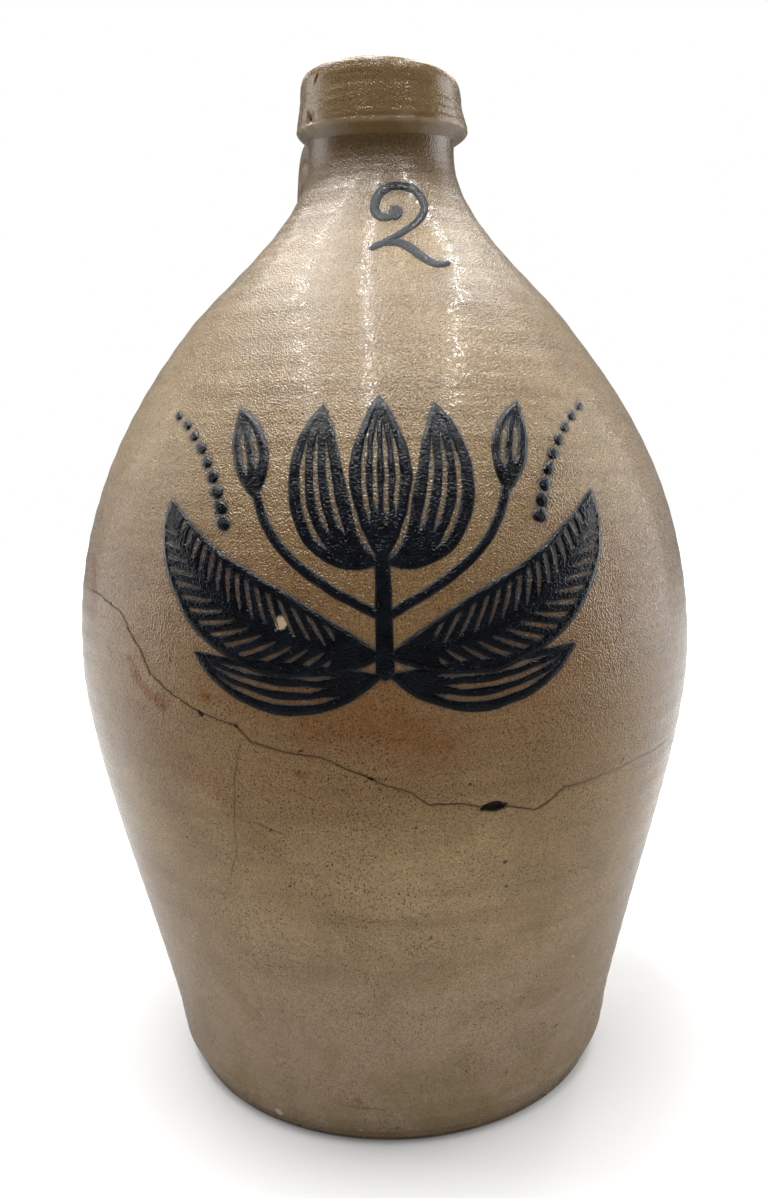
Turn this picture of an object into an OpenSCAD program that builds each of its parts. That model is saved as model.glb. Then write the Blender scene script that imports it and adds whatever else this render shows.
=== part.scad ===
// Stoneware jug of two gallons, ovoid, with a collared neck, a strap handle at the
// back and cobalt slip on the front. Z is up, the foot stands on z = 0, the axis of
// the pot is the Z axis, and the front faces -Y.

/* [Vessel] */
// Height from the foot to the crest of the lip
jug_h = 362.5; // [350:0.5:376]
// Widest diameter, at the belly
belly_d = 227.5; // [212:0.5:244]
// Height of the widest point above the foot
belly_z = 158.8; // [146:0.2:170]
// Diameter of the flat base
base_d = 158; // [148:0.5:164]
// Diameter at the top of the foot band
heel_d = 169; // [165:0.5:174]
// Height of the foot band
heel_h = 11.3; // [8:0.1:14]
// Diameter where the shoulder turns from bulging out to curving in
shoulder_d = 139.8; // [132:0.2:146]
// Distance down from the crest of the lip to that turn
shoulder_drop = 88.9; // [83:0.1:94]
// Outside diameter of the neck
neck_d = 53; // [50:0.5:56]
// Distance down from the crest of the lip to where the neck is upright
neck_drop = 27.5; // [26:0.5:32]
// Thickness of the thrown wall
wall_t = 7; // [5.5:0.1:8.5]
// Thickness of the floor
floor_t = 11; // [9:0.2:14]
// Thickness of the brown slip that lines the inside
lining_t = 0.6; // [0.4:0.1:1]

/* [Mouth and collar] */
// Diameter of the straight throat, which takes a stopper
throat_d = 32; // [28:0.5:35]
// Length of the straight throat
throat_len = 30; // [24:0.5:34]
// Diameter of the collar at its lower edge
collar_d = 61.6; // [59.5:0.2:66]
// Diameter of the collar just under the lip
collar_top_d = 58.4; // [56.5:0.2:59]
// Height of the collar from its lower edge to the crest
collar_h = 21.5; // [20:0.5:24]
// Diameter of the crest of the lip
crest_d = 50; // [46:0.5:53]
// Height of the flared part of the mouth above the throat
flare_h = 10.5; // [8:0.5:12]
// Depth of the bevel under the collar
bevel_h = 3.4; // [2:0.2:4.5]
// Height of the plain bead along the lower edge
bead_h = 3.6; // [2.5:0.1:4.5]
// Depth of the line tooled above the bead
groove_t = 0.6; // [0.3:0.1:1]

/* [Handle] */
// Width of the strap
strap_w = 35; // [30:0.5:40]
// Thickness of the strap
strap_t = 11; // [9:0.5:12]
// Turn of the handle from straight back towards -X
handle_turn = 11.5; // [0:0.5:30]
// Radius of the rise from the collar to the crest of the strap
rise_r = 42; // [34:1:50]
// Radius of the fall behind the crest
fall_r = 30; // [27:0.5:33]
// Radius of the long back of the strap
back_r = 120; // [105:1:135]
// Distance down from the crest of the lip to the middle of the strap's root
root_drop = 18; // [15:0.5:24]
// Width of the clay pressed round the neck at the strap's root
joint_w = 42; // [38:0.5:46]
// Width of the lower terminal across the strap
terminal_w = 47; // [42:0.5:52]
// Length of the lower terminal down the shoulder
terminal_len = 42; // [36:1:48]
// Height of the lower terminal over the wall
terminal_t = 7; // [5:0.5:9]

/* [Slip decoration] */
// Thickness of the raised cobalt slip
slip_t = 0.6; // [0.3:0.1:1.2]
// Width of the flower design
design_w = 134; // [110:1:140]
// Height of the flower design
design_h = 81; // [70:1:84]
// Distance from the top of the flower design up to the foot of the numeral
design_gap = 41.4; // [37:0.2:47]
// Width of the numeral
numeral_w = 26.8; // [22:0.2:30]
// Height of the numeral, seen from the front
numeral_h = 29.7; // [24:0.3:31]
// Distance down from the crest of the lip to the numeral's foot
numeral_drop = 74.1; // [72:0.1:78]
// Distance of the numeral's middle to the right of the axis
numeral_x = 9.9; // [0:0.1:12]
// Greatest width of the numeral's brush stroke
numeral_stroke = 3; // [2:0.1:3.6]

/* [Hidden] */

clay = "#8b7a61";
brown = "#4a3020";
cobalt = "#1c2230";

neck_z = jug_h - neck_drop;
shoulder_z = jug_h - shoulder_drop;
neck_top = jug_h - flare_h;
throat_z = neck_top - throat_len;
collar_z = jug_h - collar_h;

// Slopes of the outside, in degrees from the upright
heel_slope = 7.2;
shoulder_slope = 37.5;

// How far each curve of the outline runs straight on from its two ends, in shares of its height
lower_shares = [0.243, 0.263];
upper_shares = [0.512, 0.229];
neck_shares = [0.311, 0.368];

// Steps along each curve of the outline, round each corner and round each turned piece
curve_steps = 10;
corner_steps = 5;
turn_steps = 144;

// Points of a cubic curve
function cubic(p, t) = pow(1 - t, 3) * p[0] + 3 * pow(1 - t, 2) * t * p[1]
    + 3 * (1 - t) * t * t * p[2] + pow(t, 3) * p[3];
function curve(p, steps, first = 0) = [for (i = [first : steps]) cubic(p, i / steps)];

// Right-hand side of a line of points at point i, as a unit vector
function side(p, i) = let (d = p[min(i + 1, len(p) - 1)] - p[max(i - 1, 0)]) [d[1], -d[0]] / norm(d);
function beside(p, t) = [for (i = [0 : len(p) - 1]) p[i] + t * side(p, i)];
function reversed(p) = [for (i = [len(p) - 1 : -1 : 0]) p[i]];

// One face of the wall from heel to neck, as three cubic curves
function wall_line(heel, belly, shoulder, neck) =
    let (lower = belly[1] - heel[1], upper = shoulder[1] - belly[1], top = neck[1] - shoulder[1],
         flare = [sin(heel_slope), cos(heel_slope)],
         lean = [-sin(shoulder_slope), cos(shoulder_slope)])
    concat(
        curve([heel, heel + lower_shares[0] * lower * flare,
               belly - [0, lower_shares[1] * lower], belly], curve_steps),
        curve([belly, belly + [0, upper_shares[0] * upper],
               shoulder - upper_shares[1] * upper * lean, shoulder], curve_steps, 1),
        curve([shoulder, shoulder + neck_shares[0] * top * lean,
               neck - [0, neck_shares[1] * top], neck], curve_steps, 1));

shoulder = [shoulder_d / 2, shoulder_z];
outer_line = wall_line([heel_d / 2, heel_h], [belly_d / 2, belly_z], shoulder, [neck_d / 2, neck_z]);
inner_line = wall_line([heel_d / 2 - wall_t, floor_t + wall_t], [belly_d / 2 - wall_t, belly_z],
                       shoulder - wall_t * [cos(shoulder_slope), sin(shoulder_slope)],
                       [throat_d / 2, throat_z]);

// The floor meets the wall in a corner as round as the wall is thick
corner = inner_line[0] - [wall_t, 0];
floor_corner = [for (i = [0 : corner_steps - 1]) let (a = 90 * i / corner_steps)
    corner + wall_t * [sin(a), -cos(a)]];
inside = concat([[0, floor_t]], floor_corner, inner_line);

module turned(points) {
    rotate_extrude($fn = turn_steps) polygon(points);
}

// All that lies within the vessel's outer face, up to the end of the neck
module vessel_mass() {
    turned(concat([[0, 0], [base_d / 2, 0]], outer_line, [[neck_d / 2, neck_top], [0, neck_top]]));
}

module thrown_body() {
    color(clay) turned(concat([[0, 0], [base_d / 2, 0]], outer_line,
        [[neck_d / 2, neck_top], [throat_d / 2, neck_top]], reversed(inside)));
}

module inner_slip_lining() {
    film = beside(inside, -lining_t);
    last = len(film) - 1;
    color(brown) turned(concat(inside, [[throat_d / 2 - lining_t, throat_z]],
        [for (i = [last - 1 : -1 : 1]) film[i]], [[0, floor_t + lining_t]]));
}

// Collar: a ring over the neck's end, with a bevel below, a bead, a tooled line and a round lip
lip_share = 0.4;

module collar_mass(bore_points) {
    lip_h = lip_share * collar_h;
    bead_z = collar_z + bead_h;
    lip = [for (i = [0 : corner_steps]) let (a = 90 * i / corner_steps)
        [crest_d / 2 + (collar_top_d - crest_d) / 2 * cos(a), jug_h - lip_h + lip_h * sin(a)]];
    turned(concat(
        [[neck_d / 2, collar_z - bevel_h],
         [collar_d / 2 - groove_t, collar_z],
         [collar_d / 2, collar_z + groove_t],
         [collar_d / 2, bead_z - groove_t],
         [collar_d / 2 - groove_t, bead_z],
         [collar_d / 2 - groove_t / 2, bead_z + groove_t]],
        lip, bore_points));
}

module spout_collar() {
    flare = [for (i = [1 : corner_steps]) let (a = 90 * i / corner_steps)
        [crest_d / 2 - (crest_d - throat_d) / 2 * sin(a), neck_top + flare_h * cos(a)]];
    color(clay) collar_mass(concat(flare, [[neck_d / 2, neck_top]]));
}

// Handle: a pulled strap in three arcs, drawn in the plane of the handle, where the
// first coordinate runs out from the axis and the second is the height.
// Headings are angles over the horizontal.
root_heading = 32;
back_heading = -80;
end_heading = -100;

function arc_end(from, r, h0, h1) = from + r * [sin(h0) - sin(h1), cos(h1) - cos(h0)];
root = [(collar_d + strap_t) / 2, jug_h - root_drop];
crest = arc_end(root, rise_r, root_heading, 0);
back = arc_end(crest, fall_r, 0, back_heading);
bend_end = arc_end(back, back_r, back_heading, end_heading);

// Seat: where the strap's middle line, run straight on, meets the shoulder
function line_radius(z, i = 1) = let (a = outer_line[i - 1], b = outer_line[i])
    b[1] >= z || i == len(outer_line) - 1 ? a[0] + (b[0] - a[0]) * (z - a[1]) / (b[1] - a[1])
                                          : line_radius(z, i + 1);
tail_dir = [cos(end_heading), sin(end_heading)];
function landing(p, tries) = tries == 0 ? p
    : landing(p + (p[0] - line_radius(p[1])) / 2 * tail_dir, tries - 1);
seat = landing(bend_end, 12);
strap_end = seat - strap_t * tail_dir;

// Frames along the strap, each a place and a heading
function arc_frames(from, r, h0, h1, steps) = [for (i = [1 : steps])
    let (h = h0 + (h1 - h0) * i / steps) [arc_end(from, r, h0, h), h]];
strap_frames = concat([[root, root_heading]],
    arc_frames(root, rise_r, root_heading, 0, 4),
    arc_frames(crest, fall_r, 0, back_heading, 8),
    arc_frames(back, back_r, back_heading, end_heading, 4),
    [[strap_end, end_heading]]);

// Section of the strap: rounded edges, and a shallow groove down its outer face
section_steps = 28;
roundness_share = 0.6;
dip_share = 0.12;
function rounded(c) = sign(c) * pow(abs(c), roundness_share);
strap_section = [for (i = [0 : section_steps - 1])
    let (a = 360 * i / section_steps, out = rounded(cos(a)), across = rounded(sin(a)),
         dip = out > 0 ? dip_share * out * (1 - across * across) : 0)
    [strap_t * (out / 2 - dip), strap_w / 2 * across]];

// The strap is pulled a little wider and thicker at both ends than in the middle
swell_share = 0.08;

// Puts what is drawn in the plane of the handle behind the neck
module at_handle() {
    rotate([0, 0, 90 + handle_turn]) rotate([90, 0, 0]) children();
}

module strap_handle() {
    n = section_steps;
    last = len(strap_frames) - 1;
    rings = [for (i = [0 : last], q = strap_section)
        let (f = strap_frames[i], swell = 1 + swell_share * pow(2 * i / last - 1, 2),
             p = f[0] + swell * q[0] * [-sin(f[1]), cos(f[1])])
        [p[0], p[1], swell * q[1]]];
    centres = [for (i = [0, last]) [strap_frames[i][0][0], strap_frames[i][0][1], 0]];
    sides = [for (i = [0 : last - 1], j = [0 : n - 1])
        let (a = i * n + j, b = i * n + (j + 1) % n) each [[a, b, b + n], [a, b + n, a + n]]];
    caps = [for (j = [0 : n - 1]) let (k = (j + 1) % n)
        each [[k, j, len(rings)], [last * n + j, last * n + k, len(rings) + 1]]];
    color(clay) at_handle() polyhedron(concat(rings, centres), concat(sides, caps));
}

// Thin slice of the strap's end, which the clay of a joint grows out of
module strap_slice(place, heading, along) {
    swell = 1 + swell_share;
    translate(place) rotate([0, 0, heading]) rotate([90, 0, 90])
        translate([0, 0, along < 0 ? along : 0]) linear_extrude(height = abs(along))
            scale(swell) polygon(strap_section);
}

// Flattened ball with its centre in the plane of the handle, and its half sizes out, up and across
module lump(centre, tilt, half_out, half_up, half_across) {
    translate(centre) rotate([0, 0, tilt]) scale([half_out, half_up, half_across])
        sphere(1, $fn = 28);
}

// Upper joint: clay that wraps the back of the neck and narrows down towards the shoulder.
// Each lump's place out from the axis and down from the root, and its half sizes out and up,
// are in shares of the neck's radius, and its half size across is in shares of the joint's width.
joint_lump_shares = [[0.62, 0.3, 0.43, 0.26, 0.5], [0.85, 0.68, 0.34, 0.23, 0.31]];

module handle_upper_joint() {
    neck_r = neck_d / 2;
    color(clay) difference() {
        at_handle() hull() {
            strap_slice(root, root_heading, -groove_t);
            for (s = joint_lump_shares)
                lump([s[0] * neck_r, root[1] - s[1] * neck_r], 0,
                     s[2] * neck_r, s[3] * neck_r, s[4] * joint_w);
        }
        vessel_mass();
        collar_mass([[0, jug_h], [0, collar_z - bevel_h]]);
    }
}

// Lower terminal: clay spread down the shoulder, sunk so that it wraps round it. Each lump's
// place down the shoulder and its half size along it are in shares of the terminal's length,
// its half thickness in shares of the terminal's height and its half width in shares of its width.
sink_share = 0.5;
terminal_lump_shares = [[-0.1, 0.2, 1.4, 0.45], [0.08, 0.24, 1.35, 0.5], [0.36, 0.2, 1.05, 0.3]];

module handle_lower_terminal() {
    down = [sin(shoulder_slope), -cos(shoulder_slope)];
    inward = -[cos(shoulder_slope), sin(shoulder_slope)];
    color(clay) difference() {
        at_handle() hull() {
            strap_slice(strap_end, end_heading, groove_t);
            for (s = terminal_lump_shares)
                lump(seat + s[0] * terminal_len * down + sink_share * terminal_t * inward,
                     shoulder_slope, s[2] * terminal_t, s[1] * terminal_len, s[3] * terminal_w);
        }
        vessel_mass();
    }
}

// Slip decoration: drawings in elevation, laid on the wall as a layer of even thickness.
// Strokes are ribbons along cubic curves, given in shares of the design's width and height.
stroke_steps = 9;
numeral_z = jug_h - numeral_drop;
design_top = numeral_z - design_gap;
design_z = design_top - design_h;

function ribbon(path, halves, tip) = concat(
    [for (i = [0 : len(path) - 1]) path[i] + halves[i] * side(path, i)],
    [for (i = [len(path) - 1 - tip : -1 : tip]) path[i] - halves[i] * side(path, i)]);

// A leaf comes to a point at both ends, and a band keeps its two end widths
function leaf(p, half) = ribbon(curve(p, stroke_steps),
    [for (i = [0 : stroke_steps]) half * pow(sin(180 * i / stroke_steps), 0.8)], 1);
function band(p, half_a, half_b) = ribbon(curve(p, stroke_steps),
    [for (i = [0 : stroke_steps]) half_a + (half_b - half_a) * i / stroke_steps], 0);

function in_design(shares, s) = [for (q = shares) [s * q[0] * design_w, design_z + q[1] * design_h]];
function in_numeral(shares) =
    [for (q = shares) [numeral_x + (q[0] - 0.5) * numeral_w, numeral_z + q[1] * numeral_h]];

// Layer of slip over the part of the wall between two heights, on the front half
module slip_on_wall(low, high) {
    step = (belly_z - heel_h) / curve_steps + (shoulder_z - belly_z) / curve_steps;
    line = [for (q = outer_line) if (q[1] > low - step && q[1] < high + step) q];
    intersection() {
        rotate([0, 0, 180]) rotate_extrude(angle = 180, $fn = turn_steps)
            polygon(concat(line, reversed(beside(line, slip_t))));
        rotate([90, 0, 0]) linear_extrude(height = belly_d) children();
    }
}

petal_half = 0.066 * design_w;
leaf_half = 0.095 * design_w;
small_leaf_half = 0.058 * design_w;
stem_half = 0.016 * design_w;
twig_half = 0.011 * design_w;
bud_half = 0.043 * design_w;

stem_shares = [[0, 0.02], [0, 0.2], [0, 0.34], [0, 0.5]];
heart_petal_shares = [[0, 0.42], [0, 0.6], [0, 0.84], [0, 1]];
side_petal_shares = [[0.005, 0.42], [0.16, 0.46], [0.15, 0.74], [0.12, 0.97]];
large_leaf_shares = [[0.005, 0.1], [0.17, 0.14], [0.42, 0.18], [0.475, 0.64]];
small_leaf_shares = [[0.005, 0.04], [0.1, -0.02], [0.28, -0.06], [0.42, 0.1]];
twig_shares = [[0.005, 0.24], [0.12, 0.34], [0.25, 0.44], [0.27, 0.67]];
bud_shares = [[0.27, 0.64], [0.285, 0.74], [0.28, 0.86], [0.31, 0.97]];
spray_shares = [[0.345, 0.56], [0.36, 0.7], [0.4, 0.86], [0.47, 0.95]];
spray_dots = 9;

module stem_shape() { polygon(band(in_design(stem_shares, 1), stem_half * 1.3, stem_half)); }
module bloom_shape() {
    polygon(leaf(in_design(heart_petal_shares, 1), petal_half));
    for (s = [-1, 1]) polygon(leaf(in_design(side_petal_shares, s), petal_half));
}
module large_leaf_shape(s) { polygon(leaf(in_design(large_leaf_shares, s), leaf_half)); }
module small_leaf_shape(s) { polygon(leaf(in_design(small_leaf_shares, s), small_leaf_half)); }
module bud_shape(s) {
    polygon(band(in_design(twig_shares, s), twig_half, twig_half));
    polygon(leaf(in_design(bud_shares, s), bud_half));
}

module tulip_bloom() {
    color(cobalt) slip_on_wall(design_z + 0.4 * design_h, design_top) bloom_shape();
}

module flower_stem() {
    color(cobalt) slip_on_wall(design_z, design_z + 0.5 * design_h) difference() {
        stem_shape();
        bloom_shape();
    }
}

module large_leaf_pair() {
    color(cobalt) for (s = [-1, 1]) slip_on_wall(design_z, design_z + 0.7 * design_h) difference() {
        large_leaf_shape(s);
        stem_shape();
    }
}

module small_leaf_pair() {
    color(cobalt) for (s = [-1, 1]) slip_on_wall(design_z - 0.1 * design_h, design_z + 0.2 * design_h)
        difference() {
            small_leaf_shape(s);
            stem_shape();
            large_leaf_shape(s);
        }
}

module bud_pair() {
    color(cobalt) for (s = [-1, 1]) slip_on_wall(design_z + 0.1 * design_h, design_top) difference() {
        bud_shape(s);
        stem_shape();
        large_leaf_shape(s);
        bloom_shape();
    }
}

module dot_spray_pair() {
    color(cobalt) for (s = [-1, 1], i = [0 : spray_dots - 1])
        slip_on_wall(design_z + 0.5 * design_h, design_top)
            translate(cubic(in_design(spray_shares, s), i / (spray_dots - 1)))
                circle(stem_half * (1 - 0.5 * i / spray_dots), $fn = 12);
}

// Numeral: a curled top stroke that ends below on the left, and a waved foot stroke. Each
// stretch has its curve, and the brush's width at its two ends in shares of the widest stroke.
numeral_shares = [
    [[[0.4, 0.7], [0.3, 0.52], [0.08, 0.6], [0.12, 0.78]], 0.8, 0.7],
    [[[0.12, 0.78], [0.16, 1.05], [0.56, 1.06], [0.68, 0.84]], 0.7, 1],
    [[[0.68, 0.84], [0.8, 0.58], [0.42, 0.4], [0.02, 0.2]], 1, 0.6],
    [[[0.02, 0.2], [0.22, 0.36], [0.42, 0.28], [0.56, 0.18]], 0.6, 1],
    [[[0.56, 0.18], [0.7, 0.06], [0.84, -0.04], [1, 0.05]], 1, 0.5]];
blob_share = 1.2;

module capacity_numeral() {
    half = numeral_stroke / 2;
    color(cobalt) slip_on_wall(numeral_z, numeral_z + numeral_h) {
        translate(in_numeral(numeral_shares[0][0])[0]) circle(half * blob_share, $fn = 32);
        for (s = numeral_shares) polygon(band(in_numeral(s[0]), half * s[1], half * s[2]));
    }
}

thrown_body();
spout_collar();
strap_handle();
handle_upper_joint();
handle_lower_terminal();
inner_slip_lining();
capacity_numeral();
flower_stem();
tulip_bloom();
large_leaf_pair();
small_leaf_pair();
bud_pair();
dot_spray_pair();
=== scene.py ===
"""Looks of a stoneware jug of two gallons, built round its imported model.

Lengths are in millimetres until a mesh is made. Z is up and the front of the jug faces -Y.
Azimuth is in degrees from the front and grows towards +X.
"""
import math
from itertools import product

import bmesh
import bpy
import numpy as np
from mathutils import Matrix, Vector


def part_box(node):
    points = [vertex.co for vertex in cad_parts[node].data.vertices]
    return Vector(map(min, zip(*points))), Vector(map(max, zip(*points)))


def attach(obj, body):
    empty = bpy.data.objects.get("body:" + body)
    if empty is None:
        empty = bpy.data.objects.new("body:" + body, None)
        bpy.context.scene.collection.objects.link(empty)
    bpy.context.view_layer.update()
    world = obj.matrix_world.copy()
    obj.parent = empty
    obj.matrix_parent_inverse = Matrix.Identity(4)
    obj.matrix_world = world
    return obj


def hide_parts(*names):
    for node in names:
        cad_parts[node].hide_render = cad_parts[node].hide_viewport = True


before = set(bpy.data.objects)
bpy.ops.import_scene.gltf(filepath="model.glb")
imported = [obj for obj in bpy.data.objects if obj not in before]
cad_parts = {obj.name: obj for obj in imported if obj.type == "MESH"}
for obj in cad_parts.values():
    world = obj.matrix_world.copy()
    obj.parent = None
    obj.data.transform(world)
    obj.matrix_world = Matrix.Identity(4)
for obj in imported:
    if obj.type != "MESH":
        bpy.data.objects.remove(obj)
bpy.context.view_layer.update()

MM = 0.001


def node_box(node):
    """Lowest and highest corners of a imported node."""
    return [np.array(corner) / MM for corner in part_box(node)]


# Sizes of the vessel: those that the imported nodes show, and those of the part's source
jug_h = node_box("spout_collar")[1][2]
belly_r = node_box("thrown_body")[1][0]
neck_top = node_box("thrown_body")[1][2]
throat_z = node_box("inner_slip_lining")[1][2]
lining_z = node_box("inner_slip_lining")[0][2]
collar_r = node_box("spout_collar")[1][0]
base_r = 79
heel_r = 84.5
heel_h = 11.3
belly_z = 158.8
shoulder_r = 69.9
shoulder_z = 273.6
neck_r = 26.5
neck_z = 335
throat_r = 16
wall_t = 7
lining_t = 0.6
collar_z = 341
collar_top_r = 29.2
crest_r = 25
heel_slope = math.radians(7.2)
shoulder_slope = math.radians(37.5)

# Camera, as fitted to the outline of the jug in the photograph
PHOTO_W, PHOTO_H = 768, 1198
FOCAL_PX = 1000
camera_place = np.array([0, -384, 233.6])
camera_pitch = 0.1573
camera_yaw = 0.0003
camera_roll = -0.0248


def smoothstep(t):
    t = np.clip(t, 0, 1)
    return t * t * (3 - 2 * t)


def bump(distance, reach):
    """1 at no distance, falling smoothly to 0."""
    return np.exp(-(distance / reach) ** 2)


def level(places):
    """Places in a plane, with a third coordinate of 0."""
    return np.concatenate([places, np.zeros_like(places[..., :1])], -1)


def round_places(r, a, z):
    """Places at a radius, an azimuth in radians and a height."""
    return np.stack([r * np.sin(a), -r * np.cos(a), z], -1)


LATTICE = 32
noise_tables = {}


def noise(points, size, seed):
    """Smooth noise from -1 to 1 at points in millimetres, with features of that size."""
    if seed not in noise_tables:
        noise_tables[seed] = np.random.default_rng(seed + 7).uniform(-1, 1, (LATTICE,) * 3)
    scaled = np.asarray(points, float) / size
    cell = np.floor(scaled).astype(int)
    t = scaled - cell
    t = t * t * (3 - 2 * t)
    total = 0
    for corner in product((0, 1), repeat=3):
        weight = np.prod(np.where(np.array(corner) == 1, t, 1 - t), axis=-1)
        i, j, k = np.moveaxis((cell + corner) % LATTICE, -1, 0)
        total = total + weight * noise_tables[seed][i, j, k]
    return total


# Curves

def cubic(points, t):
    """Points of a cubic curve through its first and last control points."""
    p = np.asarray(points, float)
    t = np.asarray(t)[..., None]
    s = 1 - t
    return s ** 3 * p[0] + 3 * s * s * t * p[1] + 3 * s * t * t * p[2] + t ** 3 * p[3]


def lengths_along(line):
    steps = np.hypot(*np.diff(line, axis=0).T)
    return np.concatenate([[0], np.cumsum(steps)])


def resample(line, step, closed=False):
    """The line with a point about every step."""
    line = np.asarray(line, float)
    if closed:
        line = np.vstack([line, line[:1]])
    along = lengths_along(line)
    count = max(int(round(along[-1] / step)), 2)
    wanted = np.linspace(0, along[-1], count + 1)
    if closed:
        wanted = wanted[:-1]
    return np.stack([np.interp(wanted, along, line[:, i]) for i in range(line.shape[1])], -1)


def soften(line, reach, step=0.2, closed=False):
    """The line with its corners rounded over about reach."""
    fine = resample(line, step, closed)
    half = max(int(reach / step), 1)
    kernel = np.hanning(2 * half + 3)[1:-1]
    kernel /= kernel.sum()
    settings = {"mode": "wrap"} if closed else {"mode": "reflect", "reflect_type": "odd"}
    pad = np.pad(fine, ((half, half), (0, 0)), **settings)
    return np.stack([np.convolve(pad[:, i], kernel, "valid") for i in range(fine.shape[1])], -1)


def outward(line, closed=False):
    """Unit vectors to the right of the line's run."""
    if closed:
        run = np.roll(line, -1, 0) - np.roll(line, 1, 0)
    else:
        run = np.gradient(line, axis=0)
    run /= np.maximum(np.linalg.norm(run, axis=1, keepdims=True), 1e-9)
    return np.stack([run[:, 1], -run[:, 0]], -1)


# Outline of the vessel, as radius and height

def wall_line(heel, belly, shoulder, neck):
    """One face of the wall from heel to neck, as three cubic curves."""
    heel, belly, shoulder, neck = (np.array(p, float) for p in (heel, belly, shoulder, neck))
    lower, upper, top = belly[1] - heel[1], shoulder[1] - belly[1], neck[1] - shoulder[1]
    flare = np.array([math.sin(heel_slope), math.cos(heel_slope)])
    tip = np.array([-math.sin(shoulder_slope), math.cos(shoulder_slope)])
    up = np.array([0, 1])
    t = np.linspace(0, 1, 200)
    return np.vstack([
        cubic([heel, heel + 0.243 * lower * flare, belly - 0.263 * lower * up, belly], t),
        cubic([belly, belly + 0.512 * upper * up, shoulder - 0.229 * upper * tip, shoulder], t[1:]),
        cubic([shoulder, shoulder + 0.311 * top * tip, neck - 0.368 * top * up, neck], t[1:])])


floor_z = lining_z
shoulder_in = (shoulder_r - wall_t * math.cos(shoulder_slope),
               shoulder_z - wall_t * math.sin(shoulder_slope))
outer_wall = wall_line((heel_r, heel_h), (belly_r, belly_z), (shoulder_r, shoulder_z),
                       (neck_r, neck_z))
inner_wall = wall_line((heel_r - wall_t, floor_z + wall_t), (belly_r - wall_t, belly_z),
                       shoulder_in, (throat_r, throat_z))
quarter = np.linspace(0, math.pi / 2, 24)[:-1]
floor_corner = np.stack([heel_r - 2 * wall_t + wall_t * np.sin(quarter),
                         floor_z + wall_t - wall_t * np.cos(quarter)], -1)
inside_line = np.vstack([[[0, floor_z]], floor_corner, inner_wall])

# The base stands on a ring and is a little hollow inside it
base_hollow = 0.9
ring_r = 71
base_line = [[0, base_hollow], [0.6 * ring_r, base_hollow], [ring_r, 0], [base_r, 0]]
vessel_line = soften(np.vstack([base_line, outer_wall, [[neck_r, neck_top], [throat_r, neck_top]],
                                inside_line[::-1]]), 1.4)
vessel_line[:, 0] = np.maximum(vessel_line[:, 0], 0)
vessel_s = lengths_along(vessel_line)
vessel_side = outward(vessel_line)
foot_i = int(np.argmin(np.hypot(*(vessel_line - [base_r, 0]).T)))
top_i = int(np.argmax(vessel_line[:, 1]))
foot_s, top_s = vessel_s[foot_i], vessel_s[top_i]
outer_r, outer_z = vessel_line[foot_i:top_i].T
outer_s = vessel_s[foot_i:top_i]


def along_outline(table, s):
    """The outline's places or side vectors at distances along it."""
    return np.stack([np.interp(s, vessel_s, table[:, i]) for i in (0, 1)], -1)


# The pot leans: the neck stands to the right of the foot's middle, and its rim is tilted
lean_from, neck_shift, collar_shift = 260, 2.95, 0.55
rim_tilt = 0.048


def lean(points):
    x, y, z = np.moveaxis(np.asarray(points, float), -1, 0)
    shift = neck_shift * smoothstep((z - lean_from) / (neck_z - lean_from))
    shift = shift + collar_shift * smoothstep((z - neck_z) / 10)
    near_rim = smoothstep((z - neck_z) / 20)
    middle = neck_shift + collar_shift
    drop = near_rim * (rim_tilt * (x + shift - middle) + rim_tilt * (crest_r + 3))
    return np.stack([x + shift, y, z - drop], -1)


def at_px(px, py):
    """Places on the leaning wall that the photograph's pixels show, as azimuth and height."""
    pixel = np.stack(np.broadcast_arrays(np.asarray(px, float), py), -1).reshape(-1, 2)
    right, up, ahead = camera_axes()
    off = (pixel[:, :1] - PHOTO_W / 2) * right - (pixel[:, 1:] - PHOTO_H / 2) * up
    run = ahead + off / FOCAL_PX
    reach = np.arange(150, 420, 0.25)
    p = camera_place + reach[None, :, None] * run[:, None, :]
    shift = neck_shift * smoothstep((p[..., 2] - lean_from) / (neck_z - lean_from))
    outside = np.hypot(p[..., 0] - shift, p[..., 1]) - np.interp(p[..., 2], outer_z, outer_r)
    nearest = np.argmin(outside, axis=1)
    hit = np.argmax(outside < 0, axis=1)
    hit = np.where(hit > 0, hit, nearest)
    rows = np.arange(len(p))
    x, y, z = p[rows, hit].T
    return np.stack([np.degrees(np.arctan2(x - shift[rows, hit], -y)), z], -1)


def camera_axes():
    cos, sin = math.cos(camera_pitch), math.sin(camera_pitch)
    ahead = np.array([math.sin(camera_yaw) * cos, math.cos(camera_yaw) * cos, -sin])
    side = np.array([math.cos(camera_yaw), -math.sin(camera_yaw), 0])
    over = np.cross(side, ahead)
    right = math.cos(camera_roll) * side + math.sin(camera_roll) * over
    up = -math.sin(camera_roll) * side + math.cos(camera_roll) * over
    return right, up, ahead


# Damage: a hairline crack across the belly with chips along it, all placed by pixels
crack_px = [(86, 585), (99, 596), (117, 611), (125, 625), (140, 653), (149, 675), (164, 689),
            (199, 714), (234, 726), (251, 743), (281, 752), (320, 759), (370, 779), (402, 791),
            (429, 805), (462, 805), (481, 808), (510, 808), (535, 811), (566, 788), (610, 773),
            (651, 752), (672, 735)]
branch_px = [(241, 736), (238, 755), (233, 781), (234, 831), (237, 857), (231, 870), (227, 892)]
# Chips: pixel of the middle, length and width on the wall, turn in degrees and depth
chip_marks = [((109, 603), 1.6, 0.9, 20, 0.3), ((199, 714), 3.6, 1.5, -35, 0.4),
              ((235, 727), 2.0, 1.0, -40, 0.4), ((371, 780), 2.6, 1.0, -20, 0.35),
              ((495, 808), 10.2, 3.7, 0, 1.6), ((300, 752), 1.5, 0.7, 0, 0.3),
              ((386, 780), 1.0, 0.8, 0, 0.2)]
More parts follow.
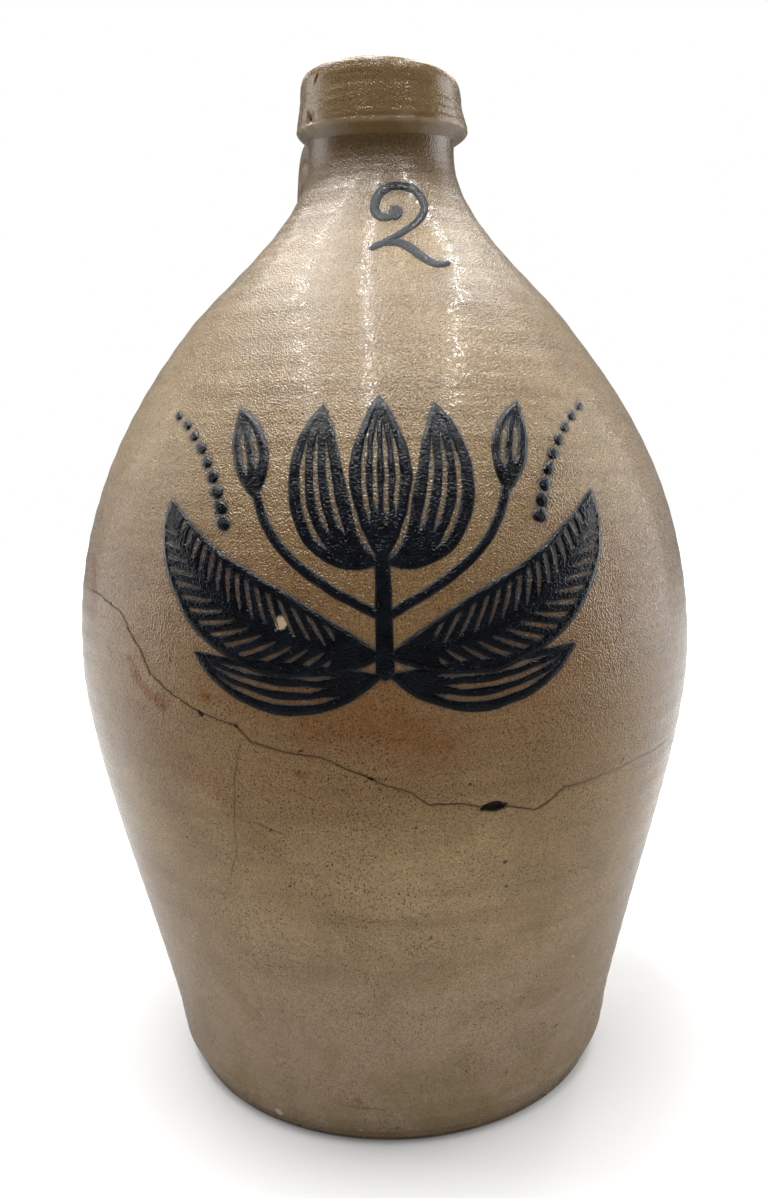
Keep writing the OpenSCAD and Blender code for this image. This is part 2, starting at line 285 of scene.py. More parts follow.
# Larger iron specks: pixel and radius
speck_px = [
    (176, 459, 0.45), (169, 660, 0.55), (260, 683, 0.5), (307, 689, 0.45), (214, 607, 0.4),
    (186, 838, 0.45), (237, 797, 0.4), (270, 831, 0.5), (416, 829, 0.45), (380, 790, 0.4),
    (631, 585, 0.6), (682, 594, 0.8), (689, 640, 0.7), (682, 680, 0.6), (572, 641, 0.5),
    (471, 785, 0.55), (594, 801, 0.5), (630, 807, 0.55), (506, 863, 0.7), (507, 887, 0.6),
    (624, 760, 0.6), (467, 1072, 0.55), (365, 1120, 0.5), (397, 1128, 0.5), (557, 1027, 0.6),
    (507, 1073, 0.6), (490, 1044, 0.4), (287, 1092, 0.5), (230, 1043, 0.4), (282, 1012, 0.4)]
# Dark smears near the foot, and the pale chip in its edge
smear_px = [([(328, 1102), (350, 1107), (392, 1110)], 0.55), ([(352, 1099), (366, 1105)], 0.8),
            ([(250, 822), (285, 836)], 0.5), ([(520, 726), (530, 733)], 0.3),
            ([(530, 733), (521, 734)], 0.3)]
foot_chip_px, foot_chip_size = (279, 1112), 1.9
WALL_DEGREE = 110 * math.pi / 180


def flat(az, z):
    """Places on the wall in a plane, true to size at the belly."""
    return np.stack(np.broadcast_arrays(az * WALL_DEGREE, z), -1)


def flat_px(pixels):
    places = at_px(*np.array(pixels, float).T)
    return flat(places[:, 0], places[:, 1])


def along_path(points, path):
    """Signed distance to a path, and the share of the path's length at the nearest place."""
    best = np.full(len(points), 1e9)
    signed = np.full(len(points), 1e9)
    share = np.zeros(len(points))
    ends = lengths_along(path)
    for i in range(len(path) - 1):
        a, run = path[i], path[i + 1] - path[i]
        size = np.hypot(*run)
        t = np.clip(((points - a) @ run) / size ** 2, 0, 1)
        gap = points - a - t[:, None] * run
        d = np.hypot(gap[:, 0], gap[:, 1])
        turn = run[0] * gap[:, 1] - run[1] * gap[:, 0]
        nearer = d < best
        best = np.where(nearer, d, best)
        signed = np.where(nearer, np.where(turn < 0, -d, d), signed)
        share = np.where(nearer, (ends[i] + t * size) / ends[-1], share)
    return signed, share


crack_path = flat_px(crack_px)
branch_path = flat_px(branch_px)


def jittered(q):
    """Places moved a little, so that a path drawn over them looks broken and not ruled."""
    p = level(q)
    wide = np.stack([noise(p, 6, 11), noise(p, 6, 12)], -1)
    fine = np.stack([noise(p, 1.3, 13), noise(p, 1.3, 14)], -1)
    return q + 0.5 * wide + 0.16 * fine


def chip_depths(q):
    """How far into each chip a place is: over 0 within it, and how deep it is there."""
    within = np.full(len(q), -1.0)
    depth = np.zeros(len(q))
    p = level(q)
    for middle, length, width, turn, deep in chips:
        a = math.radians(turn)
        gap = q - middle
        along = (gap @ [math.cos(a), math.sin(a)]) / (length / 2)
        across = (gap @ [-math.sin(a), math.cos(a)]) / (width / 2)
        here = 1 - np.hypot(along, across) + 0.16 * noise(p, 1.1, 15)
        within = np.maximum(within, here)
        depth = np.maximum(depth, deep * smoothstep(here * 1.6))
    return within, depth


# Marks that the surface carries, worked out at any place on the outer wall

def wall_marks(az, z):
    """What each place on the wall carries of the crack, chips, stains, flush and specks."""
    q = flat(az, z)
    marks = {name: np.full(len(q), blank) for name, blank in blank_marks.items()}
    front = np.flatnonzero((np.abs(az) < 100) & (z < 330))
    here = q[front]
    moved, p = jittered(here), level(here)

    def put(name, value):
        marks[name][front] = np.maximum(marks[name][front], value)

    d, t = along_path(moved, crack_path)
    marks["crack"][front] = np.clip(d, -FAR_OFF, FAR_OFF)
    ends = smoothstep(t / 0.04) * smoothstep((1 - t) / 0.05)
    put("crack_on", ends * (1 - 0.55 * smoothstep((t - 0.72) / 0.1)))
    d, t = along_path(moved, branch_path)
    marks["branch"][front] = np.clip(d, -FAR_OFF, FAR_OFF)
    put("branch_on", smoothstep(t / 0.05) * smoothstep((1 - t) / 0.15))
    marks["chip"][front], marks["chip_depth"][front] = chip_depths(here)
    ragged = noise(p, 5, 21) + 0.6 * noise(p, 2, 22)
    for path, half_width, strength in rust_marks:
        d, _ = along_path(here, path)
        grow = (half_width * (1.1 + 0.6 * ragged) - np.abs(d)) / (0.9 * half_width) + 0.35
        put("rust", strength * smoothstep(grow))
    for path, half_width, strength in flush_bands:
        d, _ = along_path(here, path)
        grow = 1.2 - np.abs(d) / half_width + 0.35 * noise(p, 14, 25) + 0.2 * noise(p, 4, 26)
        put("flush", strength * smoothstep(grow))
    for middle, half_u, half_z, strength in flush_spots:
        gap = (here - middle) / [half_u, half_z]
        far = np.hypot(gap[:, 0], gap[:, 1]) + 0.28 * noise(p, 22, 23) + 0.14 * noise(p, 7, 24)
        put("flush", strength * smoothstep((1.25 - far) / 0.9))
    for middle, radius in specks:
        far = np.hypot(*(here - middle).T) / radius + 0.3 * noise(p, 0.6, 27)
        put("speck", smoothstep((1.25 - far) / 0.5))
    for path, half_width in smears:
        d, t = along_path(here, path)
        grow = smoothstep(1.3 - np.abs(d) / half_width + 0.5 * noise(p, 1.5, 28))
        put("speck", 0.6 * (grow * smoothstep(4 * t * (1 - t))))
    far = np.hypot(*(here - foot_chip).T) / foot_chip_size + 0.3 * noise(p, 0.9, 29)
    put("pale", smoothstep((1.1 - far) / 0.25))
    marks["chip_depth"][front] += 0.5 * smoothstep((1.1 - far) / 0.6)
    return marks


# Marks that the material reads, and what they say far from any damage
MARK_NAMES = ("crack", "crack_on", "branch", "branch_on", "chip", "rust", "flush", "speck", "pale")
FAR_OFF = 9.0
blank_marks = dict.fromkeys((*MARK_NAMES, "chip_depth"), 0.0)
blank_marks |= {"crack": FAR_OFF, "branch": FAR_OFF, "chip": -1.0}


def on_flat(table):
    """A table's rows, with the pixels that each starts with turned into places on the flat wall."""
    return [(flat_px(pixels), *rest) for pixels, *rest in table]


def spots_on_flat(table):
    return [(flat_px([pixel])[0], *rest) for pixel, *rest in table]


chips = spots_on_flat(chip_marks)
specks = spots_on_flat((row[:2], row[2]) for row in speck_px)
smears = on_flat(smear_px)
foot_chip = flat_px([foot_chip_px])[0]
# Rust stains and bands of flush: pixel path, half width and strength
rust_marks = on_flat([
    ([(127, 659), (133, 676), (146, 692), (158, 702)], 2.2, 1.0),
    ([(146, 692), (163, 700)], 2.0, 0.9), ([(203, 696), (206, 699)], 1.3, 0.9),
    ([(91, 563), (93, 590)], 2.6, 0.75), ([(106, 640), (108, 652)], 1.2, 0.5),
    ([(296, 774), (306, 776)], 1.0, 0.7), ([(126, 700), (140, 716)], 2.4, 0.3)])
flush_bands = on_flat([
    ([(245, 655), (300, 690), (370, 722), (440, 748)], 12, 1.0),
    ([(300, 740), (420, 700), (520, 690)], 7, 0.6),
    ([(545, 600), (650, 580)], 5, 0.55), ([(205, 690), (260, 712)], 5, 0.5),
    ([(150, 735), (215, 790), (270, 850)], 6, 0.4)])
# Flushed areas: pixel of the middle, half width, half height and strength
flush_spots = spots_on_flat([
    ((320, 690), 34, 17, 0.6), ((520, 640), 40, 20, 0.6), ((300, 560), 60, 34, 0.35),
    ((590, 560), 26, 22, 0.45), ((300, 900), 22, 14, 0.25)])


def relief(az, z):
    """Height of the thrown surface over the ideal wall."""
    a = np.radians(az)
    p = round_places(100, a, z)
    fade = smoothstep((z - heel_h) / 12) * smoothstep((neck_z - z) / 12)
    strength = 0.55 + 0.45 * noise(p, 60, 1)
    rings = 0.12 * np.sin(2 * np.pi * (z / 8.3 + az / 360) + 1.2 * noise(p, 90, 2))
    waves = 0.3 * noise(p, 70, 4) + 0.1 * noise(p, 24, 5)
    foot = -0.35 * bump(z - heel_h - 1.5, 2.2)
    return fade * (strength * rings + waves - 0.42) + foot - 0.08


# Slip decoration: strokes drawn in elevation and laid on the wall

design_w, design_h, design_z = 134, 81, 166
numeral_x, numeral_z, numeral_w, numeral_h = 9.9, 288.4, 26.8, 29.7
BOTTOM = -0.4
SOFT_EDGE = 1.7


def in_design(shares, side=1):
    return [(side * u * design_w, design_z + v * design_h) for u, v in shares]


def in_numeral(shares):
    return [(numeral_x + (u - 0.5) * numeral_w, numeral_z + v * numeral_h) for u, v in shares]


def wall_az(u, z):
    return np.degrees(np.arcsin(np.clip(u / np.interp(z, outer_z, outer_r), -1, 1)))


def on_wall(az, z, lift):
    """Places lifted off the thrown surface."""
    s = np.interp(z, outer_z, outer_s)
    side = along_outline(vessel_side, s)
    rise = relief(az, z) + lift
    r = np.interp(z, outer_z, outer_r) + rise * side[..., 0]
    a = np.radians(az)
    return lean(round_places(r, a, z + rise * side[..., 1]))


slip_chip, slip_chip_size = np.array([-29.5, 183.5]), 1.9


class Stroke:
    """A stroke of slip as a grid of places along and across it."""

    def __init__(self, centre, half, thick, comb=None, load=1.0, round_ends=False, step=0.4):
        along = lengths_along(centre)
        line = resample(centre, step)
        t = np.linspace(0, 1, len(line))
        half = np.interp(t, along / along[-1], half)
        if round_ends:
            for gap in (t * along[-1], (1 - t) * along[-1]):
                inward = 1 - np.clip(gap / np.maximum(half, 0.2), 0, 1)
                half = half * np.sqrt(np.clip(1 - inward ** 2, 0.01, 1))
        half = np.maximum(half, 0.12)
        across = max(int(2 * half.max() / step), 6)
        w = np.linspace(-1, 1, across + 1)
        side = outward(line)
        self.t, self.w = np.meshgrid(t, w, indexing="ij")
        spot = level(line)
        wander = 0.16 * noise(spot, 3.5, 33) * smoothstep(half / 1.5)
        half = half * (1 + 0.04 * noise(spot, 7, 34))
        self.half = np.repeat(half[:, None], across + 1, 1)
        off = self.w * self.half + wander[:, None]
        self.place = line[:, None, :] + off[..., None] * side[:, None, :]
        self.length = along[-1]
        edge = (1 - np.abs(self.w)) * self.half
        body = smoothstep(edge / np.minimum(SOFT_EDGE, 0.9 * self.half)) ** 0.8
        bead = 0.14 * bump(edge - 1.0, 0.7) * smoothstep((self.half - 1.8) / 1)
        self.lift = thick * body + bead * (body > 0)
        lines = comb(self) if comb else 0
        p = level(self.place)
        self.lift = self.lift * (1 + 0.18 * noise(p, 4, 31)) * (1 - lines) - 0.14 * lines
        far = np.hypot(*np.moveaxis(self.place - slip_chip, -1, 0)) / slip_chip_size
        self.bare = smoothstep((1.05 - far - 0.35 * noise(p, 1.1, 35)) / 0.3)
        self.lift = self.lift * (1 - 0.8 * self.bare)
        if callable(load):
            load = load(self)
        self.load = np.clip(load * (0.35 + 0.65 * smoothstep(self.lift / (0.8 * thick)))
                            * (1 + 0.22 * noise(p, 6, 32)), 0, 1)
        self.load = self.load * (1 - lines) + 0.2 * lines

    def mesh(self):
        n, m = self.t.shape
        u, z = self.place[..., 0], self.place[..., 1]
        top = on_wall(wall_az(u, z), z, self.lift).reshape(-1, 3)
        ends = self.place[:, [0, -1]]
        low = on_wall(wall_az(ends[..., 0], ends[..., 1]), ends[..., 1], BOTTOM).reshape(-1, 3)
        index = np.arange(n * m).reshape(n, m)
        under = n * m + np.arange(2 * n).reshape(n, 2)
        quads = np.stack([index[:-1, :-1], index[:-1, 1:], index[1:, 1:], index[1:, :-1]], -1)
        faces = [tuple(q) for q in quads.reshape(-1, 4)]
        for i in range(n - 1):
            faces.append((index[i, 0], index[i + 1, 0], under[i + 1, 0], under[i, 0]))
            faces.append((index[i + 1, -1], index[i, -1], under[i, 1], under[i + 1, 1]))
            faces.append((under[i, 0], under[i + 1, 0], under[i + 1, 1], under[i, 1]))
        faces.append((*index[0, ::-1], under[0, 0], under[0, 1]))
        faces.append((*index[-1], under[-1, 1], under[-1, 0]))
        marks = np.stack([np.append(self.load, np.full(2 * n, 0.3)),
                          np.append(self.bare, np.zeros(2 * n))])
        return np.vstack([top, low]), faces, marks

    def cover(self):
        return self.place[self.lift > 0.2]


class Dot:
    """A round dab of slip."""

    def __init__(self, middle, radius, thick, load):
        rings, spokes = 7, 28
        share = np.linspace(0, 1, rings + 1)[1:]
        turn = np.arange(spokes) / spokes * 2 * math.pi
        ragged = 1 + 0.06 * np.sin(2 * turn + middle[0]) + 0.04 * np.sin(3 * turn + middle[1])
        out = radius * share[:, None] * ragged
        self.place = np.array(middle) + np.stack([out * np.cos(turn), out * np.sin(turn)], -1)
        self.lift = thick * np.sqrt(1 - share ** 2)[:, None] * np.ones(spokes)
        self.middle, self.thick, self.load = np.array(middle, float), thick, load

    def mesh(self):
        rings, spokes = self.lift.shape
        u, z = self.place[..., 0], self.place[..., 1]
        body = on_wall(wall_az(u, z), z, self.lift).reshape(-1, 3)
        rim = on_wall(wall_az(u[-1], z[-1]), z[-1], BOTTOM)
        mid_u, mid_z = self.middle[:, None]
        caps = [on_wall(wall_az(mid_u, mid_z), mid_z, lift) for lift in (self.thick, BOTTOM)]
        index = np.vstack([np.arange(rings * spokes).reshape(rings, spokes),
                           rings * spokes + np.arange(spokes)])
        top, low = (rings + 1) * spokes, (rings + 1) * spokes + 1
        faces = []
        for j in range(spokes):
            k = (j + 1) % spokes
            faces.append((top, index[0, j], index[0, k]))
            for i in range(rings):
                faces.append((index[i, j], index[i + 1, j], index[i + 1, k], index[i, k]))
            faces.append((low, index[-1, k], index[-1, j]))
        marks = np.stack([np.full(low + 1, self.load), np.zeros(low + 1)])
        marks[0, (rings - 1) * spokes:] *= 0.5
        return np.vstack([body, rim, *caps]), faces, marks

    def cover(self):
        return np.vstack([self.place.reshape(-1, 2), self.middle[None]])


def band_of(value, edge, soft):
    """1 where the value lies within edge of 0, falling softly to 0."""
    return smoothstep((edge - np.abs(value)) / soft + 0.5)


def veined(stroke):
    """Clay lines between the ribs of a leaf, on both sides of a solid midrib."""
    across = np.abs(stroke.w)
    reach = stroke.t * stroke.length - 0.95 * across * stroke.half
    phase = (reach / 4.4) % 1 - 0.5
    wide = 0.1 + 0.1 * smoothstep((across - 0.1) / 0.4)
    line = band_of(phase, wide, 0.1)
    inside = smoothstep((across - 0.12) / 0.05) * smoothstep((0.8 - across) / 0.06)
    inside = inside * smoothstep((stroke.t - 0.16) / 0.02) * smoothstep((0.93 - stroke.t) / 0.02)
    return line * inside * smoothstep((stroke.half - 3) / 1)


def combed(places, start, stop):
    """Clay lines that run along a petal."""
    def lines(stroke):
        total = 0
        for i, place in enumerate(places):
            low, high = start + 0.05 * (i % 2), stop - 0.07 * abs(place)
            taper = smoothstep((stroke.t - low) / 0.1) * smoothstep((high - stroke.t) / 0.22)
            gap = (stroke.w - place) * stroke.half
            total = np.maximum(total, band_of(gap, 0.78 * taper, 0.35) * (taper > 0.02))
        return total
    return lines


def leaf(shares, side, half_share, comb, thick):
    """A stroke that swells from a point and runs out to a point."""
    centre = resample(cubic(in_design(shares, side), np.linspace(0, 1, 60)), 0.5)
    half = half_share * design_w * np.sin(np.pi * np.linspace(0, 1, len(centre))) ** 0.8
    return Stroke(centre, half, thick, comb)


stem_shares = [(0, 0.02), (0, 0.2), (0, 0.34), (0, 0.5)]
heart_petal_shares = [(0, 0.42), (0, 0.6), (0, 0.84), (0, 1)]
side_petal_shares = [(0.005, 0.42), (0.16, 0.46), (0.15, 0.74), (0.12, 0.97)]
large_leaf_shares = [(0.005, 0.1), (0.17, 0.14), (0.42, 0.18), (0.475, 0.64)]
small_leaf_shares = [(0.005, 0.04), (0.1, -0.02), (0.28, -0.06), (0.42, 0.1)]
twig_shares = [(0.005, 0.24), (0.12, 0.34), (0.25, 0.44), (0.27, 0.67)]
bud_shares = [(0.27, 0.64), (0.285, 0.74), (0.28, 0.86), (0.31, 0.97)]
spray_shares = [(0.345, 0.56), (0.36, 0.7), (0.4, 0.86), (0.47, 0.95)]
numeral_shares = [
    ([(0.34, 0.68), (0.24, 0.53), (0.03, 0.6), (0.06, 0.78)], 0.8, 1.0),
    ([(0.06, 0.78), (0.1, 1.05), (0.54, 1.06), (0.66, 0.84)], 1.0, 0.9),
    ([(0.66, 0.84), (0.78, 0.58), (0.42, 0.4), (0.02, 0.2)], 0.9, 0.6),
    ([(0.02, 0.2), (0.22, 0.36), (0.42, 0.28), (0.56, 0.18)], 0.6, 1),
    ([(0.56, 0.18), (0.7, 0.06), (0.84, -0.04), (1, 0.05)], 1, 0.5)]
numeral_half = 1.65
spray_dots = 9
stem_half = 0.016 * design_w
sides = (-1, 1)


def brushed(parts, load):
    """A run of the numeral's stretches as one stroke."""
    t = np.linspace(0, 1, 30)
    centre = np.vstack([cubic(in_numeral(shares), t) for shares, _, _ in parts])
    half = np.concatenate([numeral_half * (a + (b - a) * t) for _, a, b in parts])
    keep = np.concatenate([[True], np.hypot(*np.diff(centre, axis=0).T) > 1e-6])
    return Stroke(centre[keep], half[keep], 0.3, load=load, round_ends=True, step=0.3)


def slip_strokes():
    """The strokes of each piece of the decoration."""
    t = np.linspace(0, 1, 40)
    stem = cubic(in_design(stem_shares), t)
    strokes = {"flower_stem": [Stroke(stem, stem_half * (1.3 - 0.3 * t), 0.46, round_ends=True)]}
    side_comb = combed((-0.5, -0.02, 0.46), 0.24, 0.9)
    heart_comb = combed((-0.54, -0.18, 0.18, 0.54), 0.22, 0.9)
    small_comb = combed((-0.48, 0, 0.48), 0.22, 0.92)
    bud_comb = combed((-0.36, 0.3), 0.26, 0.86)
    strokes["tulip_bloom"] = [leaf(side_petal_shares, s, 0.066, side_comb, 0.3) for s in sides]
    strokes["tulip_bloom"].append(leaf(heart_petal_shares, 1, 0.066, heart_comb, 0.4))
    for name, shares, half, comb, thick in (
            ("large_leaf_pair", large_leaf_shares, 0.095, veined, 0.36),
            ("small_leaf_pair", small_leaf_shares, 0.058, small_comb, 0.27)):
        strokes[name] = [leaf(shares, s, half, comb, thick) for s in sides]
    buds = strokes["bud_pair"] = []
    for s in sides:
        twig = cubic(in_design(twig_shares, s), t)
        buds.append(Stroke(twig, 0.011 * design_w * np.ones(len(t)), 0.28, round_ends=True))
        buds.append(leaf(bud_shares, s, 0.043, bud_comb, 0.34))
    dots = strokes["dot_spray_pair"] = []
    for s in sides:
        for i in range(spray_dots):
            middle = cubic(in_design(spray_shares, s), i / (spray_dots - 1))
            dots.append(Dot(middle, stem_half * (1 - 0.5 * i / spray_dots), 0.5, 0.85))
    start = numeral_shares[0][0][0]
    strokes["capacity_numeral"] = [
        brushed(numeral_shares[:3], lambda k: 0.5 + 0.7 * bump(k.t - 0.38, 0.1)),
        brushed(numeral_shares[3:], lambda k: 0.4 + 0.15 * bump(k.t - 0.6, 0.2)),
        Dot(in_numeral([start])[0] + np.array([-0.5, -0.6]), numeral_half * 1.5, 0.3, 0.55)]
    return strokes


# Halo: how much of the cobalt has bled into the glaze round the strokes

HALO_CELL = 0.25
halo_low = np.array([-74.0, 156.0])
halo_high = np.array([74.0, 324.0])


def blurred(raster, reach):
    half = int(3 * reach)
    kernel = np.exp(-0.5 * (np.arange(-half, half + 1) / reach) ** 2)
    kernel /= kernel.sum()
    for axis in (0, 1):
        raster = np.apply_along_axis(np.convolve, axis, raster, kernel, "same")
    return raster


def halo_raster(strokes):
    raster = np.zeros(((halo_high - halo_low) / HALO_CELL).astype(int) + 1)
    for stroke in strokes:
        cells = np.round((stroke.cover() - halo_low) / HALO_CELL).astype(int)
        cells = np.clip(cells, 0, np.array(raster.shape) - 1)
        raster[cells[:, 0], cells[:, 1]] = 1
    filled = np.minimum(1, 2 * blurred(raster, 1))
    return 0.7 * blurred(filled, 2.2) + 0.3 * blurred(filled, 6)


def halo_at(raster, az, z):
    u = np.interp(z, outer_z, outer_r) * np.sin(np.radians(az))
    q = (np.stack([u, z], -1) - halo_low) / HALO_CELL
    inside = np.all((q >= 0) & (q < np.array(raster.shape) - 1), -1) & (np.abs(az) < 90)
    cell = np.where(inside[:, None], np.floor(q), 0).astype(int)
    f = np.where(inside[:, None], q - cell, 0)
    total = 0
    for i, j in product((0, 1), repeat=2):
        weight = (f[:, 0] if i else 1 - f[:, 0]) * (f[:, 1] if j else 1 - f[:, 1])
        total = total + weight * raster[cell[:, 0] + i, cell[:, 1] + j]
    return np.where(inside, total, 0)


# Meshes

def shade_smooth(mesh):
    mesh.polygons.foreach_set("use_smooth", np.ones(len(mesh.polygons), bool))


def make_mesh(name, points, faces, marks=None):
    mesh = bpy.data.meshes.new(name)
    faces = [tuple(int(i) for i in face) for face in faces]
    mesh.from_pydata((np.asarray(points) * MM).tolist(), [], faces)
    mesh.update()
    shade_smooth(mesh)
    for key, values in (marks or {}).items():
        set_mark(mesh, key, values)
    thing = bpy.data.objects.new(name, mesh)
    bpy.context.scene.collection.objects.link(thing)
    return thing


def set_mark(mesh, key, values):
    layer = mesh.attributes.get(key) or mesh.attributes.new(key, "FLOAT", "POINT")
    layer.data.foreach_set("value", np.asarray(values, np.float32))


def get_mark(mesh, key):
    values = np.zeros(len(mesh.vertices), np.float32)
    mesh.attributes[key].data.foreach_get("value", values)
    return values.astype(float)


def set_places(mesh, points):
    mesh.vertices.foreach_set("co", (np.asarray(points) * MM).astype(np.float32).ravel())
    mesh.update()


def get_places(mesh):
    co = np.zeros(len(mesh.vertices) * 3, np.float32)
    mesh.vertices.foreach_get("co", co)
    return co.reshape(-1, 3).astype(float) / MM


def marched(start, stop, step_at):
    """Numbers from start to stop, apart by a step that depends on where they are."""
    found = [start]
    while found[-1] < stop:
        found.append(found[-1] + step_at(found[-1]))
    found = np.array(found)
    return start + (found - start) * (stop - start) / (found[-1] - start)


def grid_faces(rows, columns, close_rows=False):
    """Quads of a grid whose columns run round and meet, facing out for rows that rise."""
    index = np.arange(rows * columns).reshape(rows, columns)
    above = np.roll(index, -1, 0) if close_rows else index[1:]
    below = index if close_rows else index[:-1]
    quads = np.stack([below, np.roll(below, -1, 1), np.roll(above, -1, 1), above], -1)
    return [tuple(q) for q in quads.reshape(-1, 4)]


def fan_faces(rows, columns):
    """Triangles from a grid's first and last row to the two points that follow the grid's."""
    n, last = rows * columns, (rows - 1) * columns
    faces = []
    for j in range(columns):
        k = (j + 1) % columns
        faces += [(n, k, j), (n + 1, last + j, last + k)]
    return faces


def azimuth_columns():
    return marched(-180, 180, lambda a: 0.52 if abs(a) < 78 else 1.3)[:-1]


def vessel_rows():
    def step(s):
        z = np.interp(s, vessel_s, vessel_line[:, 1])
        if s < foot_s - 4:
            return 2.4
        if s > top_s + 3:
            return 6.5 if 30 < z < 300 else 2.2
        if z < heel_h + 6 or z > neck_z:
            return 0.7
        return 0.95 if 108 < z < 256 else 1.35
    return marched(0, vessel_s[-1], step)[1:-1]


def vessel_places(az, s, marks):
    """Places of the vessel's surface at azimuths and distances along its outline."""
    r, z = along_outline(vessel_line, s).T
    side = along_outline(vessel_side, s)
    outside = (s >= foot_s) & (s <= top_s)
    rise = np.zeros(len(s))
    rise[outside] = relief(az[outside], z[outside])
    crack, crack_on = marks["crack"], marks["crack_on"]
    groove = 0.3 * bump(crack, 0.26) * crack_on
    groove = groove + 0.1 * bump(marks["branch"], 0.25) * marks["branch_on"]
    step = 0.07 * np.tanh(crack / 0.25) * np.exp(-np.abs(crack) / 5) * crack_on
    rise -= np.where(outside, groove + step + marks["chip_depth"], 0)
    a = np.radians(az)
    under = s < foot_s - 1
    cut = np.where(under, wire_marks(r, a), 0)
    r = r + rise * side[:, 0]
    z = z + rise * side[:, 1] + cut
    return lean(round_places(r, a, np.maximum(z, 0)))


def wire_marks(r, a):
    """Curved ridges that the cutting wire left under the base."""
    x, y = r * np.sin(a), -r * np.cos(a)
    far = np.hypot(x + 62, y - 30)
    wave = np.sin(2 * np.pi * far / 6.5 + 0.6 * np.sin(x / 17))
    return 0.16 * (1 + wave) * smoothstep((ring_r + 4 - r) / 6)


def refined(mesh, wanted, cuts):
    """Splits the faces that have a wanted vertex."""
    work = bmesh.new()
    work.from_mesh(mesh)
    work.verts.ensure_lookup_table()
    edges = set()
    for i in np.flatnonzero(wanted):
        for face in work.verts[i].link_faces:
            edges.update(face.edges)
    edges = sorted(edges, key=lambda e: e.index)
    bmesh.ops.subdivide_edges(work, edges=edges, cuts=cuts, use_grid_fill=True)
    work.to_mesh(mesh)
    work.free()
    shade_smooth(mesh)


def build_vessel(halo):
    columns, rows = azimuth_columns(), vessel_rows()
    s, az = (g.ravel() for g in np.meshgrid(rows, columns, indexing="ij"))
    faces = grid_faces(len(rows), len(columns)) + fan_faces(len(rows), len(columns))
    s = np.append(s, [0, vessel_s[-1]])
    az = np.append(az, [0, 0])
    thing = make_mesh("salt_glazed_body", np.zeros((len(s), 3)), faces, {"az": az, "s": s})
    mesh = thing.data

    def marks_here():
        az, s = get_mark(mesh, "az"), get_mark(mesh, "s")
        z = np.interp(s, vessel_s, vessel_line[:, 1])
        outside = (s >= foot_s) & (s <= top_s)
        marks = wall_marks(np.where(outside, az, 180), z)
        return az, s, z, outside, marks

    for cuts, reach in ((1, 1.8), (1, 0.9)):
        az, s, z, outside, marks = marks_here()
        near = (np.abs(marks["crack"]) < reach) & (marks["crack_on"] > 0.02)
        near |= (np.abs(marks["branch"]) < reach / 2) & (marks["branch_on"] > 0.02)
        near |= (marks["chip"] > -0.6) | (marks["speck"] > 0.02) | (marks["pale"] > 0.02)
        refined(mesh, near & outside, cuts)
    az, s, z, outside, marks = marks_here()
    set_places(mesh, vessel_places(az, s, marks))
    for key in MARK_NAMES:
        set_mark(mesh, key, marks[key])
    set_mark(mesh, "halo", np.where(outside, halo_at(halo, az, z), 0))
    for key in ("az", "s"):
        mesh.attributes.remove(mesh.attributes[key])
    return thing


def build_lining():
    """The coat of brown slip inside, a closed film from the floor to the foot of the throat."""
    outer = soften(inside_line, 1.4)
    inner = outer - lining_t * outward(outer)
    inner[:, 0] = np.maximum(inner[:, 0], 0)
    outer = outer + 0.03 * outward(outer)
    outer[:, 0] = np.maximum(outer[:, 0], 0)
    columns = np.arange(0, 360, 2.5)
    rows_out, rows_in = resample(outer, 4)[1:], resample(inner, 4)[1:]
    line = np.vstack([rows_out, rows_in[::-1]])
    a = np.radians(columns)
    r, z = line[:, :1], line[:, 1:] * np.ones(len(a))
    points = round_places(r, a, z).reshape(-1, 3)
    faces = grid_faces(len(line), len(columns)) + fan_faces(len(line), len(columns))
    points = np.vstack([points, [[0, 0, outer[0, 1]], [0, 0, inner[0, 1]]]])
    points[:, 2] = np.minimum(points[:, 2], throat_z)
    return make_mesh("brown_slip_inside", lean(points), faces)


collar_fold = (-58, 344)
lip_nick = (-50, 357)
edge_dip, edge_rise = 2.4, 1.5


def edge_shift(az, z):
    """The collar's lower edge, turned by hand, runs lower at the front than at the sides."""
    a = np.radians(az)
    shift = edge_rise * np.sin(a) ** 2 - edge_dip * np.maximum(np.cos(a), 0) ** 1.3
    return shift * (1 - smoothstep((z - collar_z - 1) / 11))


def collar_relief(az, z, side_out):
    a = np.radians(az)
    p = round_places(30, a, z)
    waves = 0.45 * noise(p, 26, 41) + 0.16 * noise(p, 8, 42) - 0.35
    tool = 0.03 * np.sin(2 * np.pi * (z / 3.1 + az / 360) + 2 * noise(p, 20, 43))
    gap_u = (az - collar_fold[0]) * math.radians(1) * collar_r
    gap_z = z - collar_fold[1]
    dent = -1.3 * np.exp(-((gap_u / 3.2) ** 2 + (gap_z / 3.4) ** 2))
    ridge = 0.2 * bump(z - collar_z - 0.9, 0.9)
    return side_out * (waves + tool + dent + ridge - 0.9 * collar_pit(az, z))


def collar_pit(az, z):
    """Slit in the fold at the collar's lower edge, and a nick in the lip: how deep each is, and
    where painted shade darkens them.
    """
    total = 0
    for (pit_az, pit_z), turn, half_long, half_short in ((collar_fold, -0.35, 2.8, 0.55),
                                                         (lip_nick, 0.8, 1.6, 0.4)):
        gap_u = (az - pit_az) * math.radians(1) * collar_r
        gap_z = z - pit_z
        across = (gap_u - turn * gap_z) / half_short
        total = total + np.exp(-(across ** 2 + (gap_z / half_long) ** 2))
    return total


